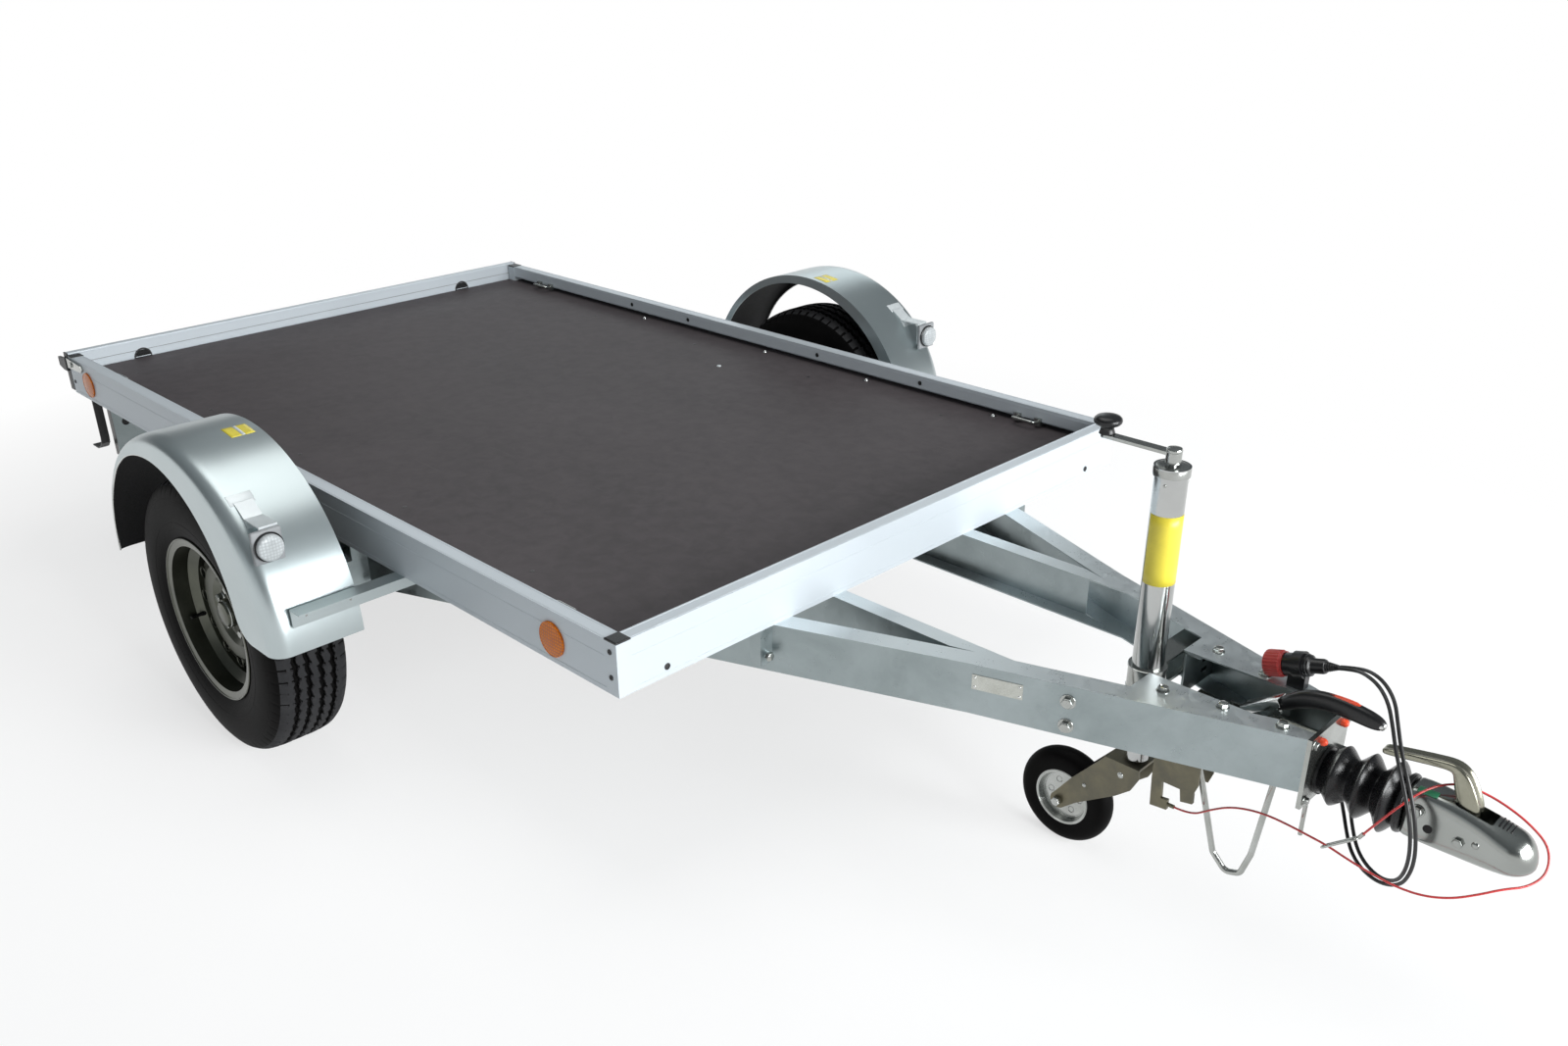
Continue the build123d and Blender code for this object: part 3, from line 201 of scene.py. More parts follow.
def fill_grain(tree, given, out):
    """Fine lines or speckle, drawn out by the stretch."""
    turned = put(
        tree, "ShaderNodeVectorMath", {0: given["Vector"], 1: given["Stretch"]}, operation="MULTIPLY"
    )
    field = put(
        tree, "ShaderNodeTexNoise",
        {"Vector": turned.outputs[0], "Scale": given["Scale"], "Detail": 4.0, "Roughness": 0.65},
    )
    tree.links.new(field.outputs["Fac"], out["Mask"])
    tree.links.new(field.outputs["Fac"], out["Height"])


def fill_dust(tree, given, out):
    """Pale dust that settles on upward faces and in patches."""
    surface = put(tree, "ShaderNodeNewGeometry")
    up = put(tree, "ShaderNodeSeparateXYZ", {0: surface.outputs["Normal"]}).outputs["Z"]
    field = put(
        tree, "ShaderNodeTexNoise",
        {"Vector": given["Vector"], "Scale": given["Scale"], "Detail": 6.0, "Roughness": 0.7},
    )
    patches = spread(tree, field.outputs["Fac"], 0.42, 0.75)
    lying = spread(tree, up, -0.2, 1.0, 0.25, 1.0)
    mask = maths(tree, "MULTIPLY", maths(tree, "MULTIPLY", patches, lying), given["Amount"], clamp=True)
    tree.links.new(mask, out["Mask"])


def fill_scuffs(tree, given, out):
    """Thin scratches in two directions."""
    total = None
    for stretch, turn in (((1.0, 14.0, 9.0), 0.5), ((16.0, 1.0, 9.0), 1.1)):
        turned = put(
            tree, "ShaderNodeMapping",
            {"Vector": given["Vector"], "Rotation": (0.0, 0.0, turn), "Scale": stretch},
        )
        field = put(
            tree, "ShaderNodeTexNoise",
            {"Vector": turned.outputs[0], "Scale": given["Scale"], "Detail": 3.0, "Roughness": 0.6},
        )
        line = spread(tree, field.outputs["Fac"], 0.66, 0.74)
        total = line if total is None else maths(tree, "MAXIMUM", total, line)
    tree.links.new(maths(tree, "MULTIPLY", total, given["Amount"], clamp=True), out["Mask"])


def cloud_group():
    return shared_group(
        "Cloudy Tone",
        [
            ("Vector", "vector", None), ("Scale", "float", 4.0), ("First", "colour", None),
            ("Second", "colour", None),
        ],
        [("Color", "colour"), ("Mask", "float")], fill_cloud,
    )


def spangle_group():
    return shared_group(
        "Zinc Spangle", [("Vector", "vector", None), ("Scale", "float", 90.0)],
        [("Mask", "float"), ("Height", "float")], fill_spangle,
    )


def grain_group():
    return shared_group(
        "Fine Grain",
        [("Vector", "vector", None), ("Scale", "float", 500.0), ("Stretch", "vector", None)],
        [("Mask", "float"), ("Height", "float")], fill_grain,
    )


def dust_group():
    return shared_group(
        "Settled Dust", [("Vector", "vector", None), ("Scale", "float", 5.0), ("Amount", "float", 0.2)],
        [("Mask", "float")], fill_dust,
    )


def scuff_group():
    return shared_group(
        "Thin Scuffs", [("Vector", "vector", None), ("Scale", "float", 12.0), ("Amount", "float", 0.3)],
        [("Mask", "float")], fill_scuffs,
    )


def fresh_material(name):
    """A new material and its empty node tree."""
    made = bpy.data.materials.new(name)
    made.use_nodes = True
    made.node_tree.nodes.clear()
    return made, made.node_tree


def close_material(tree, shader):
    """Links a shader to the material's output."""
    out = put(tree, "ShaderNodeOutputMaterial")
    tree.links.new(shader.outputs[0], out.inputs["Surface"])


DUST = (0.42, 0.40, 0.37, 1.0)
# Painted highlight: a pale bluish sky reflection mixed onto faces that point straight up.
PAINTED_SKY_SHEEN = (0.80, 0.85, 0.86, 1.0)


def finish(
    name, first, second, metallic=0.0, rough=(0.4, 0.6), cloud=6.0, grain=400.0, stretch=(1.0, 1.0, 1.0),
    height=0.02, spangle=0.0, flakes=90.0, dust=0.1, scuffs=0.0, scuff_tone=(0.7, 0.7, 0.7), coat=0.0,
    coat_rough=0.1, clear=0.0, painted_glow=0.0, specular=0.5, painted_top_sheen=0.0,
):
    """One procedural surface finish, built from the shared effects."""
    found = bpy.data.materials.get(name)
    if found:
        return found
    made, tree = fresh_material(name)
    place = put(tree, "ShaderNodeTexCoord").outputs["Object"]

    def effect(group, **values):
        inputs = {key.capitalize(): value for key, value in values.items()}
        return put(tree, "ShaderNodeGroup", {"Vector": place, **inputs}, node_tree=group).outputs

    tone = effect(cloud_group(), scale=cloud, first=rgba(first), second=rgba(second))
    lines = effect(grain_group(), scale=grain, stretch=stretch)
    colour = tone["Color"]
    roughness = spread(tree, lines["Mask"], 0.3, 0.7, rough[0], rough[1])
    bump_height = lines["Height"]
    if spangle:
        flake = effect(spangle_group(), scale=flakes)
        shade = blend_colours(
            tree, flake["Mask"], rgba([1 - spangle] * 3), rgba([1 + spangle * 0.6] * 3),
        )
        colour = blend_colours(tree, 1.0, colour, shade, "MULTIPLY")
        roughness = maths(
            tree, "ADD", roughness, spread(tree, flake["Mask"], 0.0, 1.0, -0.07, 0.07), clamp=True
        )
        bump_height = maths(tree, "ADD", bump_height, flake["Height"])
    # Painted highlight: faces that point straight up turn towards the pale sky sheen, so tops read
    # lighter.
    if painted_top_sheen:
        facing = put(tree, "ShaderNodeNewGeometry").outputs["Normal"]
        up = put(tree, "ShaderNodeSeparateXYZ", {0: facing}).outputs["Z"]
        colour = blend_colours(tree, spread(tree, up, 0.90, 0.98, 0.0, painted_top_sheen), colour, PAINTED_SKY_SHEEN)
    if scuffs:
        scratch = effect(scuff_group(), scale=12.0, amount=scuffs)
        colour = blend_colours(tree, scratch["Mask"], colour, rgba(scuff_tone))
        roughness = maths(
            tree, "ADD", roughness, maths(tree, "MULTIPLY", scratch["Mask"], 0.15), clamp=True,
        )
    if dust:
        dirt = effect(dust_group(), scale=7.0, amount=dust)
        colour = blend_colours(tree, dirt["Mask"], colour, DUST)
        roughness = maths(tree, "ADD", roughness, maths(tree, "MULTIPLY", dirt["Mask"], 0.4), clamp=True)
    bump = put(
        tree, "ShaderNodeBump", {"Height": bump_height, "Strength": 0.35, "Distance": height * MM},
    )
    shader = put(
        tree, "ShaderNodeBsdfPrincipled",
        {
            "Base Color": colour, "Roughness": roughness, "Metallic": metallic,
            "Normal": bump.outputs[0],
            "Coat Weight": coat, "Coat Roughness": coat_rough, "Transmission Weight": clear,
            "Specular IOR Level": specular,
        },
    )
    # Painted glow: the surface colour also emits light at this strength.
    if painted_glow:
        tree.links.new(colour, shader.inputs["Emission Color"])
        shader.inputs["Emission Strength"].default_value = painted_glow
    close_material(tree, shader)
    return made


def finishes():
    """Every finish of the trailer by its plain name."""
    c = bpy.context.scene.trailer_colours
    alu = Vector(c.aluminium)
    return {
        "rail_aluminium": finish(
            "Anodised aluminium", alu, alu * 0.95, metallic=0.12, rough=(0.34, 0.44), cloud=2.0,
            grain=260.0, specular=0.25, stretch=(0.02, 0.02, 3.0), height=0.02, dust=0.02, scuffs=0.04,
            scuff_tone=(0.62, 0.64, 0.66),
        ),
        # The galvanised steel's upward faces carry the painted sky highlight.
        "galvanised_steel": finish(
            "Galvanised steel", c.zinc_light, c.zinc_dark, metallic=0.92, rough=(0.30, 0.42), cloud=5.0,
            grain=300.0, height=0.008, spangle=0.05, flakes=60.0, dust=0.0, painted_top_sheen=0.85,
        ),
        "guard_steel": finish(
            "Galvanised mudguard steel", (0.50, 0.56, 0.57), (0.44, 0.50, 0.51), metallic=0.9,
            rough=(0.30, 0.34), cloud=2.0, grain=300.0, height=0.002, dust=0.0,
        ),
        "zinc_steel": finish(
            "Zinc plated steel", (0.46, 0.475, 0.46), (0.35, 0.36, 0.34), metallic=0.95,
            rough=(0.14, 0.22), cloud=9.0, grain=300.0, height=0.004, dust=0.02,
        ),
        "handle_zinc": finish(
            "Warm zinc handle", (0.34, 0.335, 0.27), (0.26, 0.255, 0.20), metallic=0.95,
            rough=(0.18, 0.28), cloud=16.0, grain=400.0, height=0.01, dust=0.03,
        ),
        "chrome_tube": finish(
            "Bright plated tube", (0.50, 0.51, 0.50), (0.44, 0.45, 0.45), metallic=1.0,
            rough=(0.12, 0.18), cloud=6.0, grain=300.0, height=0.001, dust=0.0,
        ),
        "olive_zinc": finish(
            "Yellow passivated steel", (0.17, 0.155, 0.105), (0.115, 0.11, 0.085), metallic=0.85,
            rough=(0.30, 0.46), cloud=18.0, grain=260.0, height=0.05, dust=0.08,
        ),
        "floor_ply": floor_finish(c.floor_film, c.floor_wear),
        "tyre_rubber": finish(
            "Tyre rubber", (0.0040, 0.0036, 0.0036), (0.0024, 0.0023, 0.0023), rough=(0.46, 0.62),
            cloud=9.0, grain=520.0, height=0.06, dust=0.0, specular=0.05,
        ),
        "tread_rubber": finish(
            "Tread rubber", (0.040, 0.040, 0.042), (0.028, 0.028, 0.030), rough=(0.62, 0.8), cloud=12.0,
            grain=420.0, height=0.1, dust=0.02, specular=0.12,
        ),
        "black_rubber": finish(
            "Black rubber", (0.008, 0.008, 0.009), (0.005, 0.005, 0.006), rough=(0.20, 0.32),
            cloud=12.0, grain=350.0, height=0.01, dust=0.01, specular=0.4,
        ),
        "cable_rubber": finish(
            "Cable sheath", (0.015, 0.015, 0.016), (0.009, 0.009, 0.010), rough=(0.30, 0.44),
            cloud=20.0, grain=600.0, height=0.03, dust=0.03,
        ),
        "black_plastic": finish(
            "Black moulding", (0.010, 0.010, 0.011), (0.007, 0.007, 0.008), rough=(0.24, 0.38),
            cloud=20.0, grain=900.0, height=0.01, dust=0.02, specular=0.4,
        ),
        "grey_plastic": finish(
            "Grey moulding", (0.30, 0.31, 0.32), (0.22, 0.23, 0.24), rough=(0.38, 0.52), cloud=16.0,
            grain=800.0, height=0.04, dust=0.05,
        ),
        "red_plastic": finish(
            "Red moulding", (0.50, 0.045, 0.040), (0.34, 0.030, 0.028), rough=(0.30, 0.44), cloud=14.0,
            grain=700.0, height=0.03, dust=0.05,
        ),
        "signal_red": finish(
            "Signal red insert", (0.75, 0.07, 0.02), (0.60, 0.05, 0.02), rough=(0.28, 0.4), cloud=14.0,
            grain=700.0, height=0.02, dust=0.02,
        ),
        # The last value of each lens is its painted glow.
        "amber_reflector": lens_finish(
            "Amber reflector", (0.78, 0.23, 0.004), (0.36, 0.07, 0.002), 150.0, 0.10,
        ),
        "clear_lamp": lens_finish(
            "Clear lamp lens", (0.56, 0.59, 0.60), (0.38, 0.40, 0.41), 150.0, 0.0,
        ),
        "red_lamp": lens_finish("Red lamp lens", (0.55, 0.02, 0.02), (0.35, 0.012, 0.012), 170.0, 0.1),
        "rim_silver": finish(
            "Silver wheel paint", (0.105, 0.110, 0.085), (0.070, 0.074, 0.058), metallic=0.85,
            rough=(0.28, 0.38), cloud=10.0, grain=700.0, height=0.02, dust=0.04, coat=0.3,
        ),
        "black_paint": finish(
            "Black coating", (0.022, 0.022, 0.023), (0.014, 0.014, 0.015), rough=(0.35, 0.5),
            cloud=14.0, grain=500.0, height=0.05, dust=0.08,
        ),
        "cast_zinc": finish(
            "Zinc plated casting", (0.35, 0.365, 0.350), (0.32, 0.335, 0.320), metallic=1.0,
            rough=(0.18, 0.24), cloud=9.0, grain=420.0, height=0.003, dust=0.01,
        ),
        "white_metal": finish(
            "Pale coated bracket", (0.68, 0.72, 0.73), (0.58, 0.62, 0.63), metallic=0.3,
            rough=(0.34, 0.46), cloud=12.0, grain=500.0, height=0.03, dust=0.05,
        ),
        "red_cable": finish(
            "Red cable sleeve", c.breakaway_red, Vector(c.breakaway_red) * 0.7, rough=(0.24, 0.36),
            cloud=20.0, grain=500.0, height=0.02, dust=0.02, coat=0.3,
        ),
        "label_yellow": finish(
            "Yellow sticker", c.label_yellow, Vector(c.label_yellow) * 0.86, rough=(0.30, 0.42),
            cloud=20.0, grain=300.0, height=0.03, dust=0.03,
        ),
        "plate_metal": finish(
            "Bare rating plate", (0.55, 0.56, 0.52), (0.46, 0.47, 0.43), metallic=0.8,
            rough=(0.24, 0.34), cloud=30.0, grain=600.0, stretch=(0.1, 0.1, 4.0), height=0.03,
            dust=0.02,
        ),
        # Painted shade: a near-black matt finish for sheets and discs laid where holes, slots, wells and
        # the mudguards' undersides are only in shade.
        "shadow_black": finish(
            "Painted hollow shade", (0.006, 0.006, 0.007), (0.004, 0.004, 0.004), rough=(0.7, 0.9), cloud=20.0,
            grain=300.0, height=0.02, dust=0.0,
        ),
        "bright_steel": finish(
            "Bright steel", (0.70, 0.71, 0.70), (0.58, 0.59, 0.58), metallic=1.0, rough=(0.14, 0.24),
            cloud=30.0, grain=500.0, height=0.02, dust=0.03,
        ),
        "green_mark": finish(
            "Green indicator", (0.02, 0.22, 0.10), (0.02, 0.16, 0.08), rough=(0.3, 0.4), cloud=30.0,
            grain=500.0, height=0.02, dust=0.0,
        ),
    }


def floor_finish(film, wear):
    """Film-faced ply with a pressed mesh, cloudy rubbing and fine scuffs."""
    found = bpy.data.materials.get("Film faced ply")
    if found:
        return found
    made, tree = fresh_material("Film faced ply")
    place = put(tree, "ShaderNodeTexCoord").outputs["Object"]
    broad = put(
        tree, "ShaderNodeGroup",
        {"Vector": place, "Scale": 1.2, "First": rgba(film), "Second": rgba(Vector(film) * 1.2)},
        node_tree=cloud_group(),
    )
    fine = put(
        tree, "ShaderNodeGroup",
        {
            "Vector": place, "Scale": 26.0, "First": (0.86, 0.86, 0.86, 1),
            "Second": (1.08, 1.08, 1.08, 1),
        },
        node_tree=cloud_group(),
    )
    colour = blend_colours(tree, 1.0, broad.outputs["Color"], fine.outputs["Color"], "MULTIPLY")
    rub = put(
        tree, "ShaderNodeGroup", {"Vector": place, "Scale": 1.7, "Amount": 0.35}, node_tree=dust_group(),
    )
    colour = blend_colours(tree, rub.outputs["Mask"], colour, rgba(wear))
    scuff = put(
        tree, "ShaderNodeGroup", {"Vector": place, "Scale": 4.0, "Amount": 0.10},
        node_tree=scuff_group(),
    )
    colour = blend_colours(tree, scuff.outputs["Mask"], colour, rgba(Vector(wear) * 1.4))
    across = put(
        tree, "ShaderNodeTexWave", {"Vector": place, "Scale": 95.0, "Distortion": 0.6, "Detail": 1.0},
        wave_type="BANDS", bands_direction="X",
    )
    along = put(
        tree, "ShaderNodeTexWave", {"Vector": place, "Scale": 95.0, "Distortion": 0.6, "Detail": 1.0},
        wave_type="BANDS", bands_direction="Y",
    )
    weave = maths(tree, "MULTIPLY", across.outputs["Fac"], along.outputs["Fac"])
    rough = spread(tree, rub.outputs["Mask"], 0.0, 0.6, 0.54, 0.62)
    rough = maths(tree, "ADD", rough, maths(tree, "MULTIPLY", weave, 0.06), clamp=True)
    bump = put(tree, "ShaderNodeBump", {"Height": weave, "Strength": 0.25, "Distance": 0.0001})
    shader = put(
        tree, "ShaderNodeBsdfPrincipled",
        {
            "Base Color": colour, "Roughness": rough, "Normal": bump.outputs[0],
            "Specular IOR Level": 0.16,
        },
    )
    close_material(tree, shader)
    return made


def lens_finish(name, bright, deep, cells, painted_glow):
    """Moulded lens with a field of small prisms behind a glossy face, and a faint painted glow of its
    own colour.
    """
    found = bpy.data.materials.get(name)
    if found:
        return found
    made, tree = fresh_material(name)
    place = put(tree, "ShaderNodeTexCoord").outputs["Object"]
    prism = put(
        tree, "ShaderNodeTexVoronoi", {"Vector": place, "Scale": cells, "Randomness": 0.15}
    )
    facet = spread(tree, prism.outputs["Distance"], 0.1, 0.6)
    colour = blend_colours(tree, facet, rgba(bright), rgba(deep))
    tone = put(
        tree, "ShaderNodeGroup",
        {"Vector": place, "Scale": 30.0, "First": (0.9, 0.9, 0.9, 1), "Second": (1.05, 1.05, 1.05, 1)},
        node_tree=cloud_group(),
    )
    colour = blend_colours(tree, 1.0, colour, tone.outputs["Color"], "MULTIPLY")
    bump = put(tree, "ShaderNodeBump", {"Height": facet, "Strength": 0.4, "Distance": 0.0006})
    # Emission at painted_glow strength is a painted glow: the amber reflectors and turn lenses and the
    # red lamp lenses shine faintly by themselves.
    shader = put(
        tree, "ShaderNodeBsdfPrincipled",
        {
            "Base Color": colour, "Roughness": spread(tree, facet, 0.0, 1.0, 0.16, 0.3),
            "Normal": bump.outputs[0], "Coat Weight": 0.15, "Coat Roughness": 0.06,
            "Specular IOR Level": 0.2, "Emission Color": colour,
            "Emission Strength": painted_glow,
        },
    )
    close_material(tree, shader)
    return made


NODE_FINISH = {
    "rail_aluminium": ["side_rail_right", "side_rail_left", "front_board", "tailboard"],
    "galvanised_steel": [
        "cross_members", "lamp_panels", "drawbar_right", "drawbar_left", "chassis_beam_right",
        "chassis_beam_left", "axle_tube",
    ],
    "guard_steel": ["mudguard_right", "mudguard_left", "mudguard_stays"],
    "zinc_steel": [
        "lashing_rings", "tailboard_hinge_leaves", "tailboard_hinge_pins", "latch_levers", "swing_arms",
        "overrun_housing", "brake_lever", "jockey_bracket", "jockey_crank", "support_loop", "carabiner",
        "jockey_rim",
    ],
    "chrome_tube": ["jockey_outer_tube", "jockey_inner_tube"],
    "handle_zinc": ["coupling_handle"],
    "olive_zinc": ["jockey_fork", "linkage_bracket"],
    "floor_ply": ["floor_panel"],
    "tyre_rubber": ["tyre_right", "tyre_left", "jockey_tyre"],
    "black_rubber": ["bellows"],
    "cable_rubber": ["power_cable", "power_cable_second", "cable_gland"],
    "black_plastic": ["corner_caps", "lever_grip", "crank_knob", "plug", "plug_holder", "rear_lamps"],
    "red_plastic": ["plug_cap"],
    "amber_reflector": ["side_reflectors"],
    "clear_lamp": ["marker_lamps"],
    "rim_silver": ["rim_right", "rim_left"],
    "black_paint": ["tailboard_catches", "rear_lamp_guards", "brake_plates"],
    "cast_zinc": ["hub_right", "hub_left", "coupling_head"],
    "white_metal": ["marker_brackets"],
    "red_cable": ["breakaway_cable"],
}


# ------------------------------------------------------------------ mesh building
def stand(name, work, finish_name, body, angle=35.0, slots=()):
    """Turns a built mesh into a finished piece that rides on a body."""
    bmesh.ops.remove_doubles(work, verts=work.verts, dist=1e-6)
    bmesh.ops.recalc_face_normals(work, faces=work.faces)
    mesh = bpy.data.meshes.new(name)
    work.to_mesh(mesh)
    work.free()
    piece = bpy.data.objects.new(name, mesh)
    bpy.context.scene.collection.objects.link(piece)
    every = finishes()
    for label in (finish_name, *slots):
        mesh.materials.append(every[label])
    mesh.shade_smooth()
    mesh.set_sharp_from_angle(angle=math.radians(angle))
    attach(piece, body)
    return piece


def lathe(work, profile, centre, axis, steps=48, closed=False):
    """Revolves (radius, along) points about an axis through centre."""
    axis = Vector(axis).normalized()
    across = axis.orthogonal().normalized()
    other = axis.cross(across)
    rings = []
    for n in range(steps):
        turn = math.radians(360.0 * n / steps)
        out = across * math.cos(turn) + other * math.sin(turn)
        rings.append([work.verts.new(Vector(centre) + out * r + axis * s) for r, s in profile])
    size = len(profile)
    pairs = range(size) if closed else range(size - 1)
    for n in range(steps):
        a = rings[n]
        b = rings[(n + 1) % steps]
        for m in pairs:
            k = (m + 1) % size
            corners = [a[m], a[k], b[k], b[m]]
            if profile[m][0] < 1e-9:
                corners = [a[m], a[k], b[k]]
            elif profile[k][0] < 1e-9:
                corners = [a[m], a[k], b[m]]
            work.faces.new(corners)
    return rings


def frame_matrix(place, axis, up=None):
    """Local Z along the axis, at a place."""
    z = Vector(axis).normalized()
    x = Vector(up).cross(z) if up is not None else z.orthogonal()
    x.normalize()
    y = z.cross(x)
    made = Matrix((x, y, z)).transposed().to_4x4()
    made.translation = Vector(place)
    return made


def soft_block(work, low, high, bevel=0.001, steps=2, matrix=None):
    """A block with rounded edges between two corners."""
    low = Vector(low)
    high = Vector(high)
    made = bmesh.ops.create_cube(work, size=1.0)["verts"]
    size = high - low
    for v in made:
        v.co = low + Vector(((v.co.x + 0.5) * size.x, (v.co.y + 0.5) * size.y, (v.co.z + 0.5) * size.z))
    edges = list({e for v in made for e in v.link_edges})
    result = bmesh.ops.bevel(
        work, geom=edges, offset=bevel, segments=steps, profile=0.5, affect="EDGES", clamp_overlap=True
    )
    corners = {v for f in result["faces"] for v in f.verts} | {v for v in made if v.is_valid}
    if matrix is not None:
        for v in corners:
            v.co = matrix @ v.co


WASHER_HIGH = 0.0018


def hex_bolt(work, place, axis, width, high, washer=0.0, turn=0.0):
    """Hexagon head with a chamfered top, on a washer if wanted."""
    matrix = frame_matrix(place, axis) @ Matrix.Rotation(turn, 4, "Z")
    start = WASHER_HIGH if washer else 0.0
    if washer:
        lathe(
            work,
            [
                (0.0, 0.0), (washer / 2, 0.0), (washer / 2, WASHER_HIGH - 0.0004),
                (washer / 2 - 0.0004, WASHER_HIGH), (0.0, WASHER_HIGH),
            ],
            place, axis, 24,
        )
    ring = width / 2 / math.cos(math.pi / 6)
    chamfer = high * 0.22
    levels = (
        (ring, start), (ring, start + high - chamfer), (ring * 0.93, start + high - chamfer * 0.35),
        (ring * 0.80, start + high),
    )
    rows = []
    for r, z in levels:
        rows.append([
            work.verts.new(matrix @ Vector((r * math.cos(a), r * math.sin(a), z)))
            for a in (math.pi / 3 * n for n in range(6))
        ])
    for a, b in zip(rows, rows[1:]):
        for n in range(6):
            work.faces.new([a[n], a[(n + 1) % 6], b[(n + 1) % 6], b[n]])
    work.faces.new(rows[-1])


def dome_head(work, place, axis, width, high, rim=0.0):
    """Rounded rivet or screw head."""
    profile = [(width / 2 + rim, 0.0), (width / 2 + rim, high * 0.18)] if rim else [(width / 2, 0.0)]
    for n in range(6):
        turn = math.pi / 2 * n / 5
        profile.append((width / 2 * math.cos(turn), high * 0.18 + high * 0.82 * math.sin(turn)))
    profile[-1] = (0.0, high)
    lathe(work, profile, place, axis, 20)


def socket_screw(work, place, axis, width, high):
    """Flat pan head with a round recess sunk in its top."""
    recess = width * 0.2
    lathe(
        work,
        [
            (width / 2, 0.0), (width / 2, high * 0.55), (width * 0.44, high * 0.9),
            (width * 0.34, high), (recess, high), (recess * 0.9, high * 0.35), (0.0, high * 0.3),
        ],
        place, axis, 24,
    )


def loft(work, rings):
    """Joins rings of equal count into a closed skin."""
    rows = [[work.verts.new(place) for place in ring] for ring in rings]
    count = len(rows[0])
    for a, b in zip(rows, rows[1:]):
        for k in range(count):
            work.faces.new([a[k], a[(k + 1) % count], b[(k + 1) % count], b[k]])
    work.faces.new(rows[0][::-1])
    work.faces.new(rows[-1])


def tube_along(work, points, radius, sides):
    """Round tube that follows points already on a smooth line."""
    count = len(points)
    rings = []
    side_way = None
    for n, place in enumerate(points):
        ahead = points[min(n + 1, count - 1)] - points[max(n - 1, 0)]
        ahead.normalize()
        if side_way is None:
            side_way = ahead.orthogonal().normalized()
        side_way = (side_way - ahead * side_way.dot(ahead)).normalized()
        other = ahead.cross(side_way)
        rings.append([
            place + (side_way * math.cos(a) + other * math.sin(a)) * radius
            for a in (2 * math.pi * k / sides for k in range(sides))
        ])
    loft(work, rings)


def arc_points(centre, across, up, radius, first, last, steps):
    """Points on an arc, angles in degrees from the across direction to the up direction."""
    made = []
    for n in range(steps + 1):
        a = math.radians(first + (last - first) * n / steps)
        made.append(
            Vector(centre) + Vector(across) * radius * math.cos(a) + Vector(up) * radius * math.sin(a)
        )
    return made


# ------------------------------------------------------------------ camera
class TRAILER_OT_camera(bpy.types.Operator):
    """Set the camera over the front right corner"""

    bl_idname = "trailer.camera"
    bl_label = "Camera"

    def execute(self, context):
        heading = math.radians(134.908)
        dip = math.radians(-25.961)
        roll = math.radians(-0.526)
        ahead = Vector(
            (math.cos(heading) * math.cos(dip), math.sin(heading) * math.cos(dip), math.sin(dip))
        )
        level = ahead.cross(Vector((0, 0, 1))).normalized()
        upright = level.cross(ahead)
        right = level * math.cos(roll) + upright * math.sin(roll)
        up = upright * math.cos(roll) - level * math.sin(roll)
        lens = bpy.data.cameras.new("Yard camera")
        lens.sensor_width = 36.0
        lens.lens = 31.22
        lens.shift_x = 0.0014
        lens.shift_y = 0.0350
        lens.clip_start = 0.05
        lens.clip_end = 300.0
        camera = bpy.data.objects.new("Yard camera", lens)
        turned = Matrix((right, up, -ahead)).transposed().to_4x4()
        turned.translation = Vector((2.3351, -2.0676, 1.7415))
        camera.matrix_world = turned
        context.scene.collection.objects.link(camera)
        context.scene.camera = camera
        return {"FINISHED"}


# ------------------------------------------------------------------ cords
POWER_ROUTE = [
    (1568.055, 76, 552.763), (1595.055, 76, 561.013), (1624, 50, 574), (1657, 24, 577), (1686, -2, 566),
    (1707, -26, 543), (1725, -47, 518), (1744, -63, 491), (1763, -75, 461), (1779, -83, 428),
    (1789, -85, 392), (1793, -82, 355), (1790, -75, 319), (1778, -63, 286), (1751, -48, 266),
    (1718, -31, 265), (1689, -9, 274), (1667, 16, 291), (1648, 39, 314), (1626, 61, 338),
    (1612, 69, 364), (1612, 69, 396),
]
SECOND_ROUTE = [
    (1568.055, 84, 552.763), (1597.055, 84, 561.633), (1630, 58, 578), (1664, 30, 582), (1694, 3, 571),
    (1714, -22, 545), (1732, -43, 520), (1751, -59, 493), (1770, -71, 463), (1786, -79, 430),
    (1796, -81, 393), (1801, -79, 356), (1798, -72, 318), (1785, -64, 281), (1751, -52, 259),
    (1714, -36, 257), (1682, -14, 266), (1659, 12, 283), (1639, 35, 306), (1620, 51, 334),
    (1612, 59, 362), (1612, 59, 396),
]
BREAKAWAY_ROUTE = [
    (1352, -26, 205), (1388, -26, 205), (1424, -29, 236), (1460, -34, 263), (1499, -42, 282),
    (1541, -52, 295), (1583, -63, 302), (1624, -72, 305), (1661, -78, 306), (1703, -87, 303),
    (1745, -91, 299), (1788, -91, 295), (1830, -86, 297), (1867, -73, 306), (1898, -56, 321),
    (1926, -32, 334), (1954, -4, 338), (1969, 30, 353), (1956, 58, 384), (1919, 57, 412),
    (1882, 50, 432), (1850, 38, 447), (1818, 22, 457), (1794, -6, 459), (1775, -40, 452),
    (1755, -67, 426), (1734, -79, 392), (1716, -81, 360),
]


def cord_line(name, route, thickness, finish_name):
    """One smooth cord along its route's control points."""
    curve = bpy.data.curves.new(name, "CURVE")
    curve.dimensions = "3D"
    curve.bevel_depth = thickness / 2
    curve.bevel_resolution = 4
    curve.use_fill_caps = True
    curve.resolution_u = 12
    line = curve.splines.new("NURBS")
    line.points.add(len(route) - 1)
    for point, place in zip(line.points, route):
        point.co = (*at(*place), 1.0)
    line.order_u = 3
    line.use_endpoint_u = True
    piece = bpy.data.objects.new(name, curve)
    bpy.context.scene.collection.objects.link(piece)
    curve.materials.append(finishes()[finish_name])
    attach(piece, "chassis")
    return piece


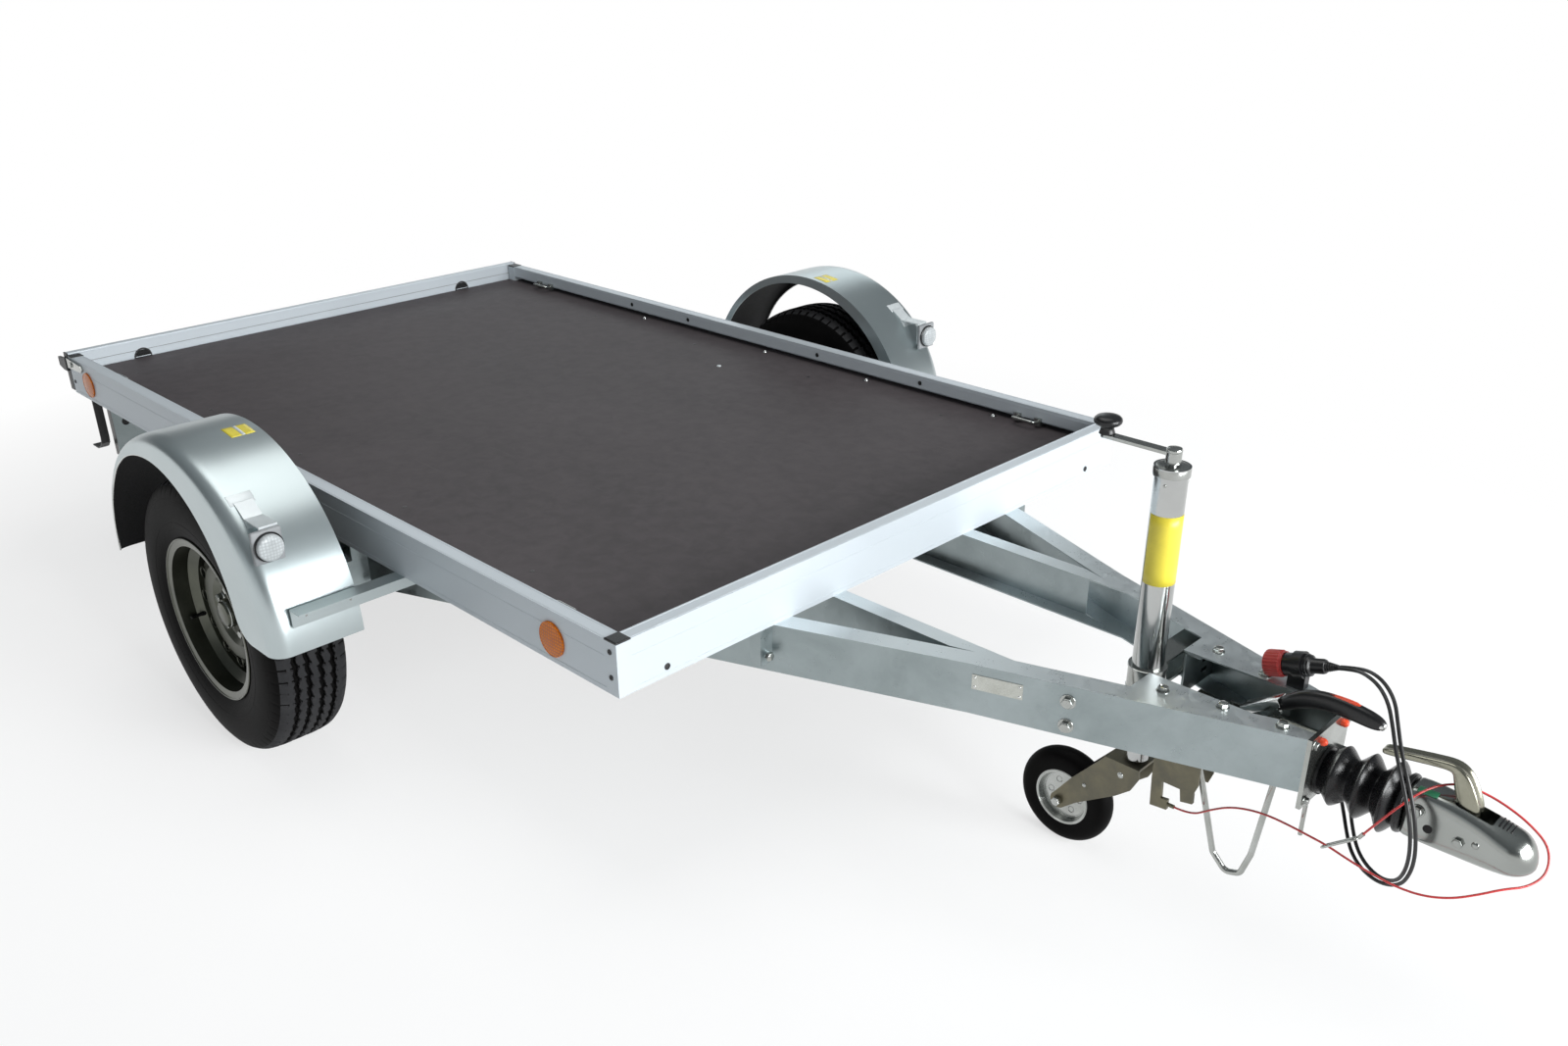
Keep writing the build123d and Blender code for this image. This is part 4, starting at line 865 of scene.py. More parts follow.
def cord_length(piece):
    """Length of a cord's own line."""
    bare = piece.data.copy()
    bare.bevel_depth = 0.0
    holder = bpy.data.objects.new("measure", bare)
    mesh = bpy.data.meshes.new_from_object(holder)
    ends = ([mesh.vertices[k].co for k in edge.vertices] for edge in mesh.edges)
    total = sum((a - b).length for a, b in ends)
    bpy.data.meshes.remove(mesh)
    bpy.data.objects.remove(holder)
    bpy.data.curves.remove(bare)
    return total


class TRAILER_OT_cords(bpy.types.Operator):
    """Lay the two lighting cables and the red breakaway cable"""

    bl_idname = "trailer.cords"
    bl_label = "Cables"

    def execute(self, context):
        sizes = context.scene.trailer_sizes
        power, safety = sizes.power_cable_thickness, sizes.breakaway_thickness
        rows = (
            ("lighting_cable", POWER_ROUTE, power, "cable_rubber", "power_cable", "object"),
            (
                "lighting_cable_second", SECOND_ROUTE, power, "cable_rubber", "power_cable_second",
                "object",
            ),
            ("breakaway_line", BREAKAWAY_ROUTE, safety, "red_cable", "breakaway_cable", "fitting"),
        )
        for name, route, thickness, finish_name, node, far_end in rows:
            piece = cord_line(name, route, thickness, finish_name)
            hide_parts(node)
            length = cord_length(piece)
            print(name, "length", round(length, 4))
        return {"FINISHED"}


# ------------------------------------------------------------------ frame finishes
class TRAILER_OT_finishes(bpy.types.Operator):
    """Give every frame part its finish"""

    bl_idname = "trailer.finishes"
    bl_label = "Frame finishes"

    def execute(self, context):
        every = finishes()
        left = set(NODES)
        for label, names in NODE_FINISH.items():
            for name in names:
                if name not in NODES:
                    raise RuntimeError("the frame has no part named " + name)
                mesh = NODES[name].data
                mesh.materials.clear()
                mesh.materials.append(every[label])
                left.discard(name)
        if left:
            raise RuntimeError("parts without a finish: " + ", ".join(sorted(left)))
        return {"FINISHED"}


# ------------------------------------------------------------------ tyres and wheels
WHEEL_X = -502.0
WHEEL_Y = 972.0
WHEEL_Z = 325.0
TYRE_FACE = [
    (180.0, -78.0), (186.0, -79.5), (195.5, -83.0), (204.0, -86.5), (214.0, -89.5), (226.0, -92.0),
    (238.0, -93.4), (250.0, -93.9), (262.0, -93.6), (274.0, -92.6), (284.0, -91.0), (293.0, -88.6),
    (301.0, -86.0), (308.0, -82.0), (313.5, -78.0),
]
TREAD_EDGE = 78.0
TREAD_ROWS = 96
TREAD_PITCHES = 64
TREAD_STEPS = 640
SHOULDER_NOTCH = 1.8


def tread_radius(y):
    """Crown of the tread in millimetres, by distance from the middle."""
    reach = abs(y)
    if reach < 30:
        return 325.0
    if reach < 62:
        return 325.0 - 3.0 * ((reach - 30) / 32) ** 2
    return 322.0 - 8.5 * ((reach - 62) / 16) ** 1.5


def zigzag(turn, count):
    """A straight-sided wave between -1 and 1."""
    share = (turn * count / (2 * math.pi)) % 1.0
    return 4 * abs(share - 0.5) - 1


def pitch_phase(y, turn):
    """Share of one tread block passed at a turn, half a block on at the outer side."""
    pitch = 2 * math.pi / TREAD_PITCHES
    return ((turn + (0.5 * pitch if y > 0 else 0.0)) % pitch) / pitch


def tread_depth(y, turn, sizes):
    """How deep the pattern cuts at one place of the tread."""
    groove = sizes.groove_depth / MM
    half = sizes.groove_width / MM / 2
    cut = 0.0
    for centre in (-43.0, -15.0, 15.0, 43.0):
        off = abs(y - centre - 2.4 * zigzag(turn + centre, TREAD_PITCHES))
        if off < half + 1.0:
            cut = max(cut, groove * min(1.0, (half + 1.0 - off) / 1.6))
    reach = abs(y)
    nearest = min(abs(reach - 15.0), abs(reach - 43.0))
    phase = pitch_phase(y, turn)
    if reach > 62:
        notched = phase < 0.13
    else:
        notched = phase < 0.14 and half < nearest < 9.5
    if notched:
        cut = max(cut, sizes.sipe_depth / MM)
    return cut


def build_tyre(hand, side, sizes):
    """Tyre with ribbed tread, cut blocks, shoulder steps and plain side walls."""
    work = bmesh.new()
    centre = at(WHEEL_X, 0, WHEEL_Z)
    rows = [("wall", r, y) for r, y in TYRE_FACE]
    for n in range(TREAD_ROWS + 1):
        y = -TREAD_EDGE + 2 * TREAD_EDGE * n / TREAD_ROWS
        rows.append(("tread", tread_radius(y), y))
    rows += [("wall", r, -y) for r, y in reversed(TYRE_FACE)]
    rings = []
    depths = []
    for step in range(TREAD_STEPS):
        turn = 2 * math.pi * step / TREAD_STEPS
        c, s = math.cos(turn), math.sin(turn)
        ring = []
        cuts = []
        for kind, r, y in rows:
            radius = r
            if kind == "tread":
                radius = r - tread_depth(y, turn, sizes) * min(1.0, (TREAD_EDGE + 0.5 - abs(y)) / 4)
            elif 296 < r < 312 and pitch_phase(y, turn) < 0.16:
                radius = r - SHOULDER_NOTCH
            cuts.append(r - radius)
            spot = Vector((c * radius * MM, side * (WHEEL_Y + y) * MM, s * radius * MM))
            ring.append(work.verts.new(centre + spot))
        rings.append(ring)
        depths.append(cuts)
    size = len(rows)
    for step in range(TREAD_STEPS):
        a = rings[step]
        b = rings[(step + 1) % TREAD_STEPS]
        for m in range(size - 1):
            face = work.faces.new([a[m], a[m + 1], b[m + 1], b[m]])
            # Painted shade: the grooves keep the near-black wall rubber, which darkens them against the
            # paler raised ribs.
            raised = max(depths[step][m], depths[step][m + 1]) < 1.5
            if rows[m][0] == "tread" and rows[m + 1][0] == "tread" and raised:
                face.material_index = 1
    piece = stand(
        "tyre_detail_" + hand, work, "tyre_rubber", "wheel_" + hand, angle=40, slots=("tread_rubber",),
    )
    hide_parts("tyre_" + hand)


class TRAILER_OT_tyres(bpy.types.Operator):
    """Build the two treaded road tyres"""

    bl_idname = "trailer.tyres"
    bl_label = "Road tyres"

    def execute(self, context):
        for hand, side in SIDES:
            build_tyre(hand, side, context.scene.trailer_sizes)
        return {"FINISHED"}


def build_wall_beads(hand, side):
    """Raised rings moulded on the tyre's outer wall."""
    work = bmesh.new()
    axis = (0, side, 0)
    centre = at(WHEEL_X, side * WHEEL_Y, WHEEL_Z)
    for radius, out in ((215.0, 89.4), (232.0, 92.6), (286.0, 90.2)):
        lathe(
            work,
            [
                ((radius - 1.6) * MM, (out - 0.9) * MM), ((radius - 0.6) * MM, (out + 0.4) * MM),
                ((radius + 0.6) * MM, (out + 0.4) * MM), ((radius + 1.6) * MM, (out - 0.9) * MM),
            ],
            centre, axis, 160,
        )
    stand("tyre_wall_rings_" + hand, work, "tyre_rubber", "wheel_" + hand)


class TRAILER_OT_wheels(bpy.types.Operator):
    """Add wheel nuts, hub caps, valves and rim trim"""

    bl_idname = "trailer.wheels"
    bl_label = "Wheel details"

    def execute(self, context):
        for hand, side in SIDES:
            body = "wheel_" + hand
            axis = (0, side, 0)
            centre = at(WHEEL_X, side * WHEEL_Y, WHEEL_Z)
            build_wall_beads(hand, side)
            work = bmesh.new()
            for n in range(5):
                turn = math.radians(72 * n + 18)
                place = centre + at(56 * math.cos(turn), side * 20, 56 * math.sin(turn))
                hex_bolt(work, place - Vector(axis) * 0.001, axis, 0.019, 0.015, turn=turn)
                lathe(
                    work, [(0.0125, -0.001), (0.0125, 0.001), (0.0105, 0.003), (0.006, 0.003)], place,
                    axis, 24
                )
            stand("wheel_nuts_" + hand, work, "zinc_steel", body)
            work = bmesh.new()
            lathe(
                work,
                [
                    (0.0335, 0.030), (0.0345, 0.032), (0.0345, 0.036), (0.0325, 0.040), (0.031, 0.044),
                    (0.0285, 0.0485), (0.020, 0.0515), (0.006, 0.0518), (0.0, 0.0515),
                ],
                centre, axis, 48,
            )
            stand("hub_cap_" + hand, work, "rim_silver", body)
            work = bmesh.new()
            turn = math.radians(200)
            place = centre + at(160 * math.cos(turn), side * 30, 160 * math.sin(turn))
            lathe(
                work,
                [
                    (0.0055, 0.0), (0.0055, 0.010), (0.0045, 0.013), (0.0042, 0.026), (0.0046, 0.027),
                    (0.0046, 0.035), (0.0030, 0.037), (0.0, 0.037),
                ],
                place, axis, 20,
            )
            stand("valve_" + hand, work, "black_rubber", body)
            build_rim_face(hand, side)
        return {"FINISHED"}


def build_rim_face(hand, side):
    """Pressed rings and rolled hand-hole edges on the wheel disc."""
    work = bmesh.new()
    axis = (0, side, 0)
    centre = at(WHEEL_X, side * WHEEL_Y, WHEEL_Z)
    for n in range(12):
        turn = math.radians(30 * n)
        place = centre + at(126 * math.cos(turn), side * 31.0, 126 * math.sin(turn))
        lathe(
            work,
            [(0.0128, -0.012), (0.0128, 0.0002), (0.0140, 0.0012), (0.0156, 0.0006), (0.0166, -0.0012)],
            place, axis, 28,
        )
    lathe(
        work,
        [(0.1890, 0.0848), (0.1908, 0.0866), (0.1926, 0.0866), (0.1936, 0.0850)],
        centre, axis, 120,
    )
    lathe(
        work,
        [(0.1535, 0.0300), (0.1560, 0.0320), (0.1640, 0.0395), (0.1700, 0.0440), (0.1725, 0.0460)],
        centre, axis, 120,
    )
    stand("rim_press_" + hand, work, "rim_silver", "wheel_" + hand)


# ------------------------------------------------------------------ drawbar lines
BEND_X = 1025.0
BEND_Y = 262.0
REAR_SLOPE = 0.3865
FRONT_SLOPE = 0.328
HOUSING_FRONT = 1603.0
BOARD_FRONT = 655.0
RAIL_FRONT = 619.0
RAIL_REAR = -1848.0
RAIL_OUT = 795.0
RAIL_TOP = 598.0
FLOOR_TOP = 548.0


def web_y(x):
    """Distance of the drawbar's outer face from the centre line."""
    return max(BEND_Y + REAR_SLOPE * (BEND_X - x), BEND_Y - FRONT_SLOPE * (x - BEND_X))


def web_out(x, side):
    """Outward direction of the drawbar's outer face."""
    slope = REAR_SLOPE if x < BEND_X else FRONT_SLOPE
    return Vector((slope, side, 0)).normalized()


# ------------------------------------------------------------------ fasteners
class TRAILER_OT_fasteners(bpy.types.Operator):
    """Fit screws, bolts and rivets to the bed and drawbar"""

    bl_idname = "trailer.fasteners"
    bl_label = "Screws and bolts"

    def execute(self, context):
        sizes = context.scene.trailer_sizes
        work = bmesh.new()
        for x in (216, -269, -756, -1251, -1735):
            for y in (-660, 660):
                socket_screw(work, at(x, y, FLOOR_TOP - 0.6), (0, 0, 1), 0.011, 0.0012)
        stand("floor_screws", work, "black_paint", "chassis")
        work = bmesh.new()
        for x in (322, -124, -534, -1100):
            for side in (-1, 1):
                dome_head(work, at(x, side * 748, FLOOR_TOP - 0.3), (0, 0, 1), 0.012, 0.007, rim=0.003)
        stand("edge_bolts", work, "bright_steel", "chassis")
        work = bmesh.new()
        dome_head(work, at(-534, 556, FLOOR_TOP - 0.2), (0, 0, 1), 0.014, 0.003)
        stand("floor_plug", work, "white_metal", "chassis")
        work = bmesh.new()
        for side in (-1, 1):
            for x in (636, -1866):
                for z in (576, 524):
                    socket_screw(work, at(x, side * (RAIL_OUT - 0.2), z), (0, side, 0), 0.011, 0.0022)
            lathe(
                work,
                [(0.0068, 0.0), (0.0068, 0.0012), (0.0050, 0.0016), (0.0046, 0.0004), (0.0, 0.0003)],
                at(BOARD_FRONT - 0.2, side * 681, 508), (1, 0, 0), 24,
            )
        stand("rail_screws", work, "black_paint", "chassis")
        # Painted shade: thin black discs stand for the dark inside the holes in the rails' inner faces.
        work = bmesh.new()
        for x in (-900, -1180, -330, 60):
            for side in (-1, 1):
                lathe(
                    work, [(0.0062, 0.0), (0.0062, 0.0008), (0.0045, 0.0012), (0.0, 0.0010)],
                    at(x, side * (RAIL_OUT - 33 + 0.1), 578), (0, -side, 0), 20,
                )
        stand("rail_hole_shade", work, "shadow_black", "chassis")
        work = bmesh.new()
        for side in (-1, 1):
            for x, z in ((1206, 455), (1206, 404)):
                place = at(x, side * (web_y(x) - 0.2), z)
                hex_bolt(work, place, web_out(x, side), sizes.bolt_width, 0.009, washer=0.030, turn=0.3)
            hex_bolt(
                work, at(661.0 - 0.5, side * (web_y(651) + 20), 429), (1, 0, 0), 0.017, 0.008, turn=0.2,
            )
        for x, y in ((1335, 100), (1440, 78), (1545, 66), (1335, -100), (1440, -78), (1545, -66)):
            hex_bolt(work, at(x, y, 488 - 0.2), (0, 0, 1), 0.017, 0.008, washer=0.024, turn=0.2 * y)
        for y in (-62, 62):
            for z in (362, 474):
                place = at(HOUSING_FRONT - 0.2, y, z)
                hex_bolt(work, place, (1, 0, 0), 0.013, 0.006, washer=0.019, turn=0.4)
        stand("drawbar_bolts", work, "zinc_steel", "chassis")
        work = bmesh.new()
        for y in (-38, 45):
            lathe(
                work,
                [(0.0070, 0.0), (0.0070, 0.006), (0.0060, 0.009), (0.0035, 0.0115), (0.0, 0.012)],
                at(HOUSING_FRONT - 0.2, y, 472), (1, 0, 0), 20,
            )
        stand("red_nut_caps", work, "signal_red", "chassis")
        work = bmesh.new()
        soft_block(work, at(1288, 60, 392), at(1293, 173, 484), bevel=0.0008, steps=2)
        soft_block(work, at(1288, 60, 480), at(1322, 160, 484.6), bevel=0.0008, steps=2)
        stand("clamp_plate", work, "galvanised_steel", "chassis")
        # Painted shade: thin black blocks stand for the dark inside the clamp plate's slots.
        work = bmesh.new()
        for z in (418, 440, 462):
            soft_block(work, at(1292.6, 128, z - 4), at(1293.4, 148, z + 4), bevel=0.0003, steps=1)
        stand("clamp_plate_slot_shade", work, "shadow_black", "chassis")
        return {"FINISHED"}


# ------------------------------------------------------------------ labels and plates
def patch(work, point_at, rows, columns):
    """A thin sheet over a function of two values from 0 to 1."""
    grid = [
        [work.verts.new(point_at(r / rows, c / columns)) for c in range(columns + 1)]
        for r in range(rows + 1)
    ]
    for r in range(rows):
        for c in range(columns):
            work.faces.new([grid[r][c], grid[r][c + 1], grid[r + 1][c + 1], grid[r + 1][c]])


def thicken(piece, depth):
    """Gives a sheet a real thickness, half to each side, and keeps the result in its mesh."""
    solid = piece.modifiers.new("thickness", "SOLIDIFY")
    solid.thickness = depth
    solid.offset = 0.0
    bake_modifiers(piece)


def subdivide(piece, levels):
    """Rounds a piece off and keeps the result in its mesh."""
    smooth = piece.modifiers.new("smooth", "SUBSURF")
    smooth.levels = levels
    smooth.render_levels = levels
    bake_modifiers(piece)


def bake_modifiers(piece):
    """Applies all modifiers of a piece to its mesh."""
    graph = bpy.context.evaluated_depsgraph_get()
    made = bpy.data.meshes.new_from_object(piece.evaluated_get(graph))
    old = piece.data
    piece.modifiers.clear()
    piece.data = made
    bpy.data.meshes.remove(old)


PLATE_ENDS = (1032.0, 1126.0)
LABEL_RADIUS = 30.35


class TRAILER_OT_labels(bpy.types.Operator):
    """Stick on the blank yellow labels and rivet on the blank plate"""

    bl_idname = "trailer.labels"
    bl_label = "Blank labels and plate"

    def execute(self, context):
        for hand, side in SIDES:
            work = bmesh.new()
            patch(
                work,
                lambda a, b, s=side: at(
                    -424 - 51 * a, s * (900 + 54 * b), guard_top(-424 - 51 * a, 0.25),
                ),
                10, 8,
            )
            piece = stand("guard_label_" + hand, work, "label_yellow", "chassis")
            thicken(piece, 0.0003)
            work = bmesh.new()
            patch(
                work,
                lambda a, b, s=side: at(
                    -424 - 51 * a, s * (922 + 8 * b), guard_top(-424 - 51 * a, 0.55),
                ),
                10, 2,
            )
            piece = stand("guard_label_stripe_" + hand, work, "white_metal", "chassis")
            thicken(piece, 0.0002)
        work = bmesh.new()
        patch(
            work,
            lambda a, b: at(
                JOCKEY_X + LABEL_RADIUS * math.cos(math.radians(-128 + 150 * a)),
                LABEL_RADIUS * math.sin(math.radians(-128 + 150 * a)),
                643 + 136 * b,
            ),
            28, 6,
        )
        piece = stand("jockey_label", work, "label_yellow", "chassis")
        thicken(piece, 0.0003)
        work = bmesh.new()
        out = web_out(1060, -1)
        along = Vector((out.y, -out.x, 0))
        if along.x < 0:
            along = -along
        first, last = PLATE_ENDS
        matrix = Matrix((along, Vector((0, 0, 1)), out)).transposed().to_4x4()
        matrix.translation = at(first, -web_y(first), 436)
        width = (at(last, -web_y(last), 0) - at(first, -web_y(first), 0)).length
        soft_block(work, (0, 0, -0.0002), (width, 0.032, 0.0012), bevel=0.0005, steps=1, matrix=matrix)
        stand("rating_plate", work, "plate_metal", "chassis")
        work = bmesh.new()
        for u in (0.006, width - 0.006):
            for v in (0.006, 0.026):
                dome_head(work, matrix @ Vector((u, v, 0.001)), out, 0.0052, 0.0018)
        stand("rating_plate_rivets", work, "bright_steel", "chassis")
        return {"FINISHED"}


# ------------------------------------------------------------------ rails and tailboard
def rail_bead(work, start, end, normal, width, high):
    """A thin raised line along an extrusion."""
    start = Vector(start)
    end = Vector(end)
    along = (end - start).normalized()
    normal = Vector(normal).normalized()
    across = along.cross(normal)
    shape = [(-width / 2, -0.0002), (-width * 0.3, high), (width * 0.3, high), (width / 2, -0.0002)]
    rows = [[work.verts.new(p + across * u + normal * v) for u, v in shape] for p in (start, end)]
    for n in range(3):
        work.faces.new([rows[0][n], rows[0][n + 1], rows[1][n + 1], rows[1][n]])
    work.faces.new(rows[0])
    work.faces.new(rows[1][::-1])


BOARD_INNER = -1890.0
BOARD_OUTER = -1915.0
BOARD_HALF = 788.0
RING_ROW = (-580, 559)
RING_Z = 548


def board_line(work, x, z, width, high, facing=1):
    """A thin raised line across the tailboard."""
    rail_bead(work, at(x, -BOARD_HALF, z), at(x, BOARD_HALF, z), (facing, 0, 0), width, high)


class TRAILER_OT_rails(bpy.types.Operator):
    """Run the extrusion lines along the rails and trim the tailboard"""

    bl_idname = "trailer.rails"
    bl_label = "Rail lines"

    def execute(self, context):
        work = bmesh.new()
        for side in (-1, 1):
            y = side * RAIL_OUT
            for z in (563.0, 497.5):
                rail_bead(work, at(RAIL_REAR, y, z), at(RAIL_FRONT, y, z), (0, side, 0), 0.0016, 0.0006)
            for off in (4.0, 29.0):
                y_in = side * (RAIL_OUT - off)
                rail_bead(
                    work, at(RAIL_REAR, y_in, RAIL_TOP), at(RAIL_FRONT, y_in, RAIL_TOP), (0, 0, 1),
                    0.0014, 0.0005,
                )
            y_in = side * (RAIL_OUT - 33)
            rail_bead(
                work, at(RAIL_REAR, y_in, 590), at(RAIL_FRONT, y_in, 590), (0, -side, 0), 0.0014, 0.0005,
            )
        for z in (563.0, 497.5):
            rail_bead(work, at(BOARD_FRONT, -760, z), at(BOARD_FRONT, 760, z), (1, 0, 0), 0.0016, 0.0006)
        for x in (651.0, 626.0):
            rail_bead(work, at(x, -760, RAIL_TOP), at(x, 760, RAIL_TOP), (0, 0, 1), 0.0014, 0.0005)
        stand("rail_lines", work, "rail_aluminium", "chassis", angle=20)
        work = bmesh.new()
        for z in (598.0, 556.0, 544.0, 498.0):
            board_line(work, BOARD_INNER, z, 0.0014, 0.0006)
            board_line(work, BOARD_OUTER, z, 0.0014, 0.0006, facing=-1)
        board_line(work, BOARD_INNER, 550, 0.003, 0.0009)
        stand("tailboard_lines", work, "rail_aluminium", "tailboard", angle=20)
        work = bmesh.new()
        for y in RING_ROW:
            place = at(BOARD_INNER + 0.2, y, RING_Z)
            lathe(
                work,
                [(0.0222, -0.0030), (0.0222, 0.0004), (0.0235, 0.0014), (0.0262, 0.0014), (0.0275, 0.0)],
                place, (1, 0, 0), 40,
            )
            points = arc_points(place + at(-4, 0, 4), (0, 1, 0), (0, 0, -1), 0.014, 0, 180, 16)
            tube_along(work, points, 0.0025, 10)
        stand("tailboard_rings", work, "black_paint", "tailboard")
        # Painted shade: black discs fill the wells behind the lashing rings, where only shade falls.
        work = bmesh.new()
        for y in RING_ROW:
            place = at(BOARD_INNER, y, RING_Z)
            lathe(work, [(0.0, 0.0006), (0.0224, 0.0006), (0.0224, 0.0)], place, (1, 0, 0), 40)
        stand("tailboard_ring_well_shade", work, "shadow_black", "tailboard")
        # Painted shade: a grey bead stands for the dark line of the groove across the tailboard's inner
        # face.
        work = bmesh.new()
        board_line(work, BOARD_INNER + 0.4, 570, 0.0018, 0.0007)
        stand("tailboard_groove_shade", work, "grey_plastic", "tailboard")
        work = bmesh.new()
        soft_block(work, at(-1889.8, 0, 494), at(-1887.2, 18, 508), bevel=0.0008)
        stand("tailboard_clip", work, "zinc_steel", "tailboard")
        return {"FINISHED"}


# ------------------------------------------------------------------ mudguards
GUARD_X = -502.0
GUARD_Z = 383.0
GUARD_LONG = 402.0
GUARD_HIGH = 376.0
ARCH_CORNER = 60.0
OPENING_X = -575.5
OPENING_R = 317.0
GUARD_INNER = 884.0
GUARD_OUTER = 1084.0
GUARD_ROLL = 38.0
GUARD_FOLD = 42.0
GUARD_SHEET = 2.5
GUARD_STEPS = 96
LIP_RADIUS = 2.2


def guard_top(x, lift=0.0):
    """Height of the mudguard's crown at a length position, in millimetres."""
    share = (x - GUARD_X) / GUARD_LONG
    return GUARD_Z + GUARD_HIGH * math.sqrt(max(0.0, 1 - share * share)) + lift


MARKER_FOOT = GUARD_X + 0.626 * GUARD_LONG
MARKER_BACK = MARKER_FOOT + 98
MARKER_TOP = guard_top(MARKER_FOOT) - 21
MARKER_Z = MARKER_TOP - 40


def opening_line():
    """Wheel opening in the mudguard's side as angle, x and z, from the front foot to the rear foot."""
    reach = math.sqrt((OPENING_R + ARCH_CORNER) ** 2 - ARCH_CORNER ** 2)
    rise = math.degrees(math.asin(ARCH_CORNER / (OPENING_R + ARCH_CORNER)))
    points = []
    for n in range(12):
        turn = math.radians(270 - (90 - rise) * n / 12)
        points.append((
            rise * n / 12, OPENING_X + reach + ARCH_CORNER * math.cos(turn),
            GUARD_Z + ARCH_CORNER + ARCH_CORNER * math.sin(turn),
        ))
    for n in range(GUARD_STEPS + 1):
        angle = rise + (180 - rise) * n / GUARD_STEPS
        turn = math.radians(angle)
        points.append(
            (angle, OPENING_X + OPENING_R * math.cos(turn), GUARD_Z + OPENING_R * math.sin(turn))
        )
    return points


def guard_section(crown, edge, side, inset):
    """Cut across a mudguard from the folded lip by the rail to the wheel opening."""
    inward = (edge - crown).normalized()
    width = (edge - crown).length
    roll = min(GUARD_ROLL, width)
    cut = [(GUARD_FOLD, GUARD_INNER + inset), (inset, GUARD_INNER + inset)]
    across = GUARD_OUTER - GUARD_ROLL - GUARD_INNER
    cut += [(inset, GUARD_INNER + inset + across * n / 6) for n in range(1, 6)]
    for n in range(11):
        turn = math.radians(90 * n / 10)
        cut.append((
            roll - (roll - min(inset, roll * 0.5)) * math.cos(turn),
            GUARD_OUTER - GUARD_ROLL + (GUARD_ROLL - inset) * math.sin(turn),
        ))
    cut.append((max(width, roll + 0.01), GUARD_OUTER - inset))
    made = []
    for deep, y in cut:
        flat = crown + inward * deep
        made.append(at(flat.x, side * y, flat.y))
    return made


def build_guard(hand, side):
    """One pressed mudguard with a full round shoulder, zinc outside and painted shade underneath."""
    work = bmesh.new()
    rows = []
    for angle, x, z in opening_line():
        turn = math.radians(angle)
        crown = Vector((GUARD_X + GUARD_LONG * math.cos(turn), GUARD_Z + GUARD_HIGH * math.sin(turn)))
        edge = Vector((x, z))
        outside = guard_section(crown, edge, side, 0.0)
        inside = guard_section(crown, edge, side, GUARD_SHEET)
        rows.append([work.verts.new(place) for place in outside + inside[::-1]])
    count = len(rows[0])
    half = count // 2
    for a, b in zip(rows, rows[1:]):
        for k in range(count):
            face = work.faces.new([a[k], a[(k + 1) % count], b[(k + 1) % count], b[k]])
            # The underside faces take the painted shade finish, near black where the real zinc lies in
            # shade.
            face.material_index = 1 if half <= k < count - 1 else 0
    for row in (rows[0], rows[-1]):
        for k in range(half - 1):
            work.faces.new([row[k], row[k + 1], row[count - 2 - k], row[count - 1 - k]])
    piece = stand(
        "guard_shell_" + hand, work, "guard_steel", "chassis", angle=50, slots=("shadow_black",),
    )
    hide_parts("mudguard_" + hand)


def lip_line(y):
    """The rolled edge round the wheel opening."""
    return [at(x, y, z) for _, x, z in opening_line()]


class TRAILER_OT_mudguards(bpy.types.Operator):
    """Roll the mudguard edges and fit the marker lamp brackets"""

    bl_idname = "trailer.mudguards"
    bl_label = "Mudguard trim"

    def execute(self, context):
        for hand, side in SIDES:
            # Painted highlight: the rolled edge is drawn in bright steel, paler than the guard, to show
            # the line of light along it.
            work = bmesh.new()
            tube_along(work, lip_line(side * (GUARD_OUTER - LIP_RADIUS)), LIP_RADIUS * MM, 10)
            stand("guard_lip_highlight_" + hand, work, "bright_steel", "chassis")
            build_guard(hand, side)
            work = bmesh.new()
            front = MARKER_FOOT + 8
            down = at(front, 0, guard_top(front)) - at(MARKER_FOOT, 0, guard_top(MARKER_FOOT))
            down.normalize()
            matrix = frame_matrix(
                at(MARKER_FOOT - 8, side * 1027, guard_top(MARKER_FOOT - 8)),
                down.cross(Vector((0, -1, 0))),
                Vector((0, 1, 0)),
            )
            soft_block(
                work, (-0.014, -0.027, -0.0003), (0.014, 0.027, 0.0016), bevel=0.0007, matrix=matrix,
            )
            stand("bracket_flange_" + hand, work, "white_metal", "chassis")
            work = bmesh.new()
            for off in (-0.018, 0.018):
                dome_head(
                    work, matrix @ Vector((0.0, off, 0.0014)), matrix.col[2].xyz, 0.007, 0.0022,
                    rim=0.001,
                )
            stand("bracket_rivets_" + hand, work, "bright_steel", "chassis")
            work = bmesh.new()
            for flip in (1, -1):
                face = GUARD_X + flip * (GUARD_LONG - 6)
                for y in (905, 1005):
                    dome_head(
                        work, at(face + flip * 5.2, side * y, 464), (flip, 0, 0), 0.016, 0.004, rim=0.002
                    )
            stand("guard_bolts_" + hand, work, "zinc_steel", "chassis")
        return {"FINISHED"}


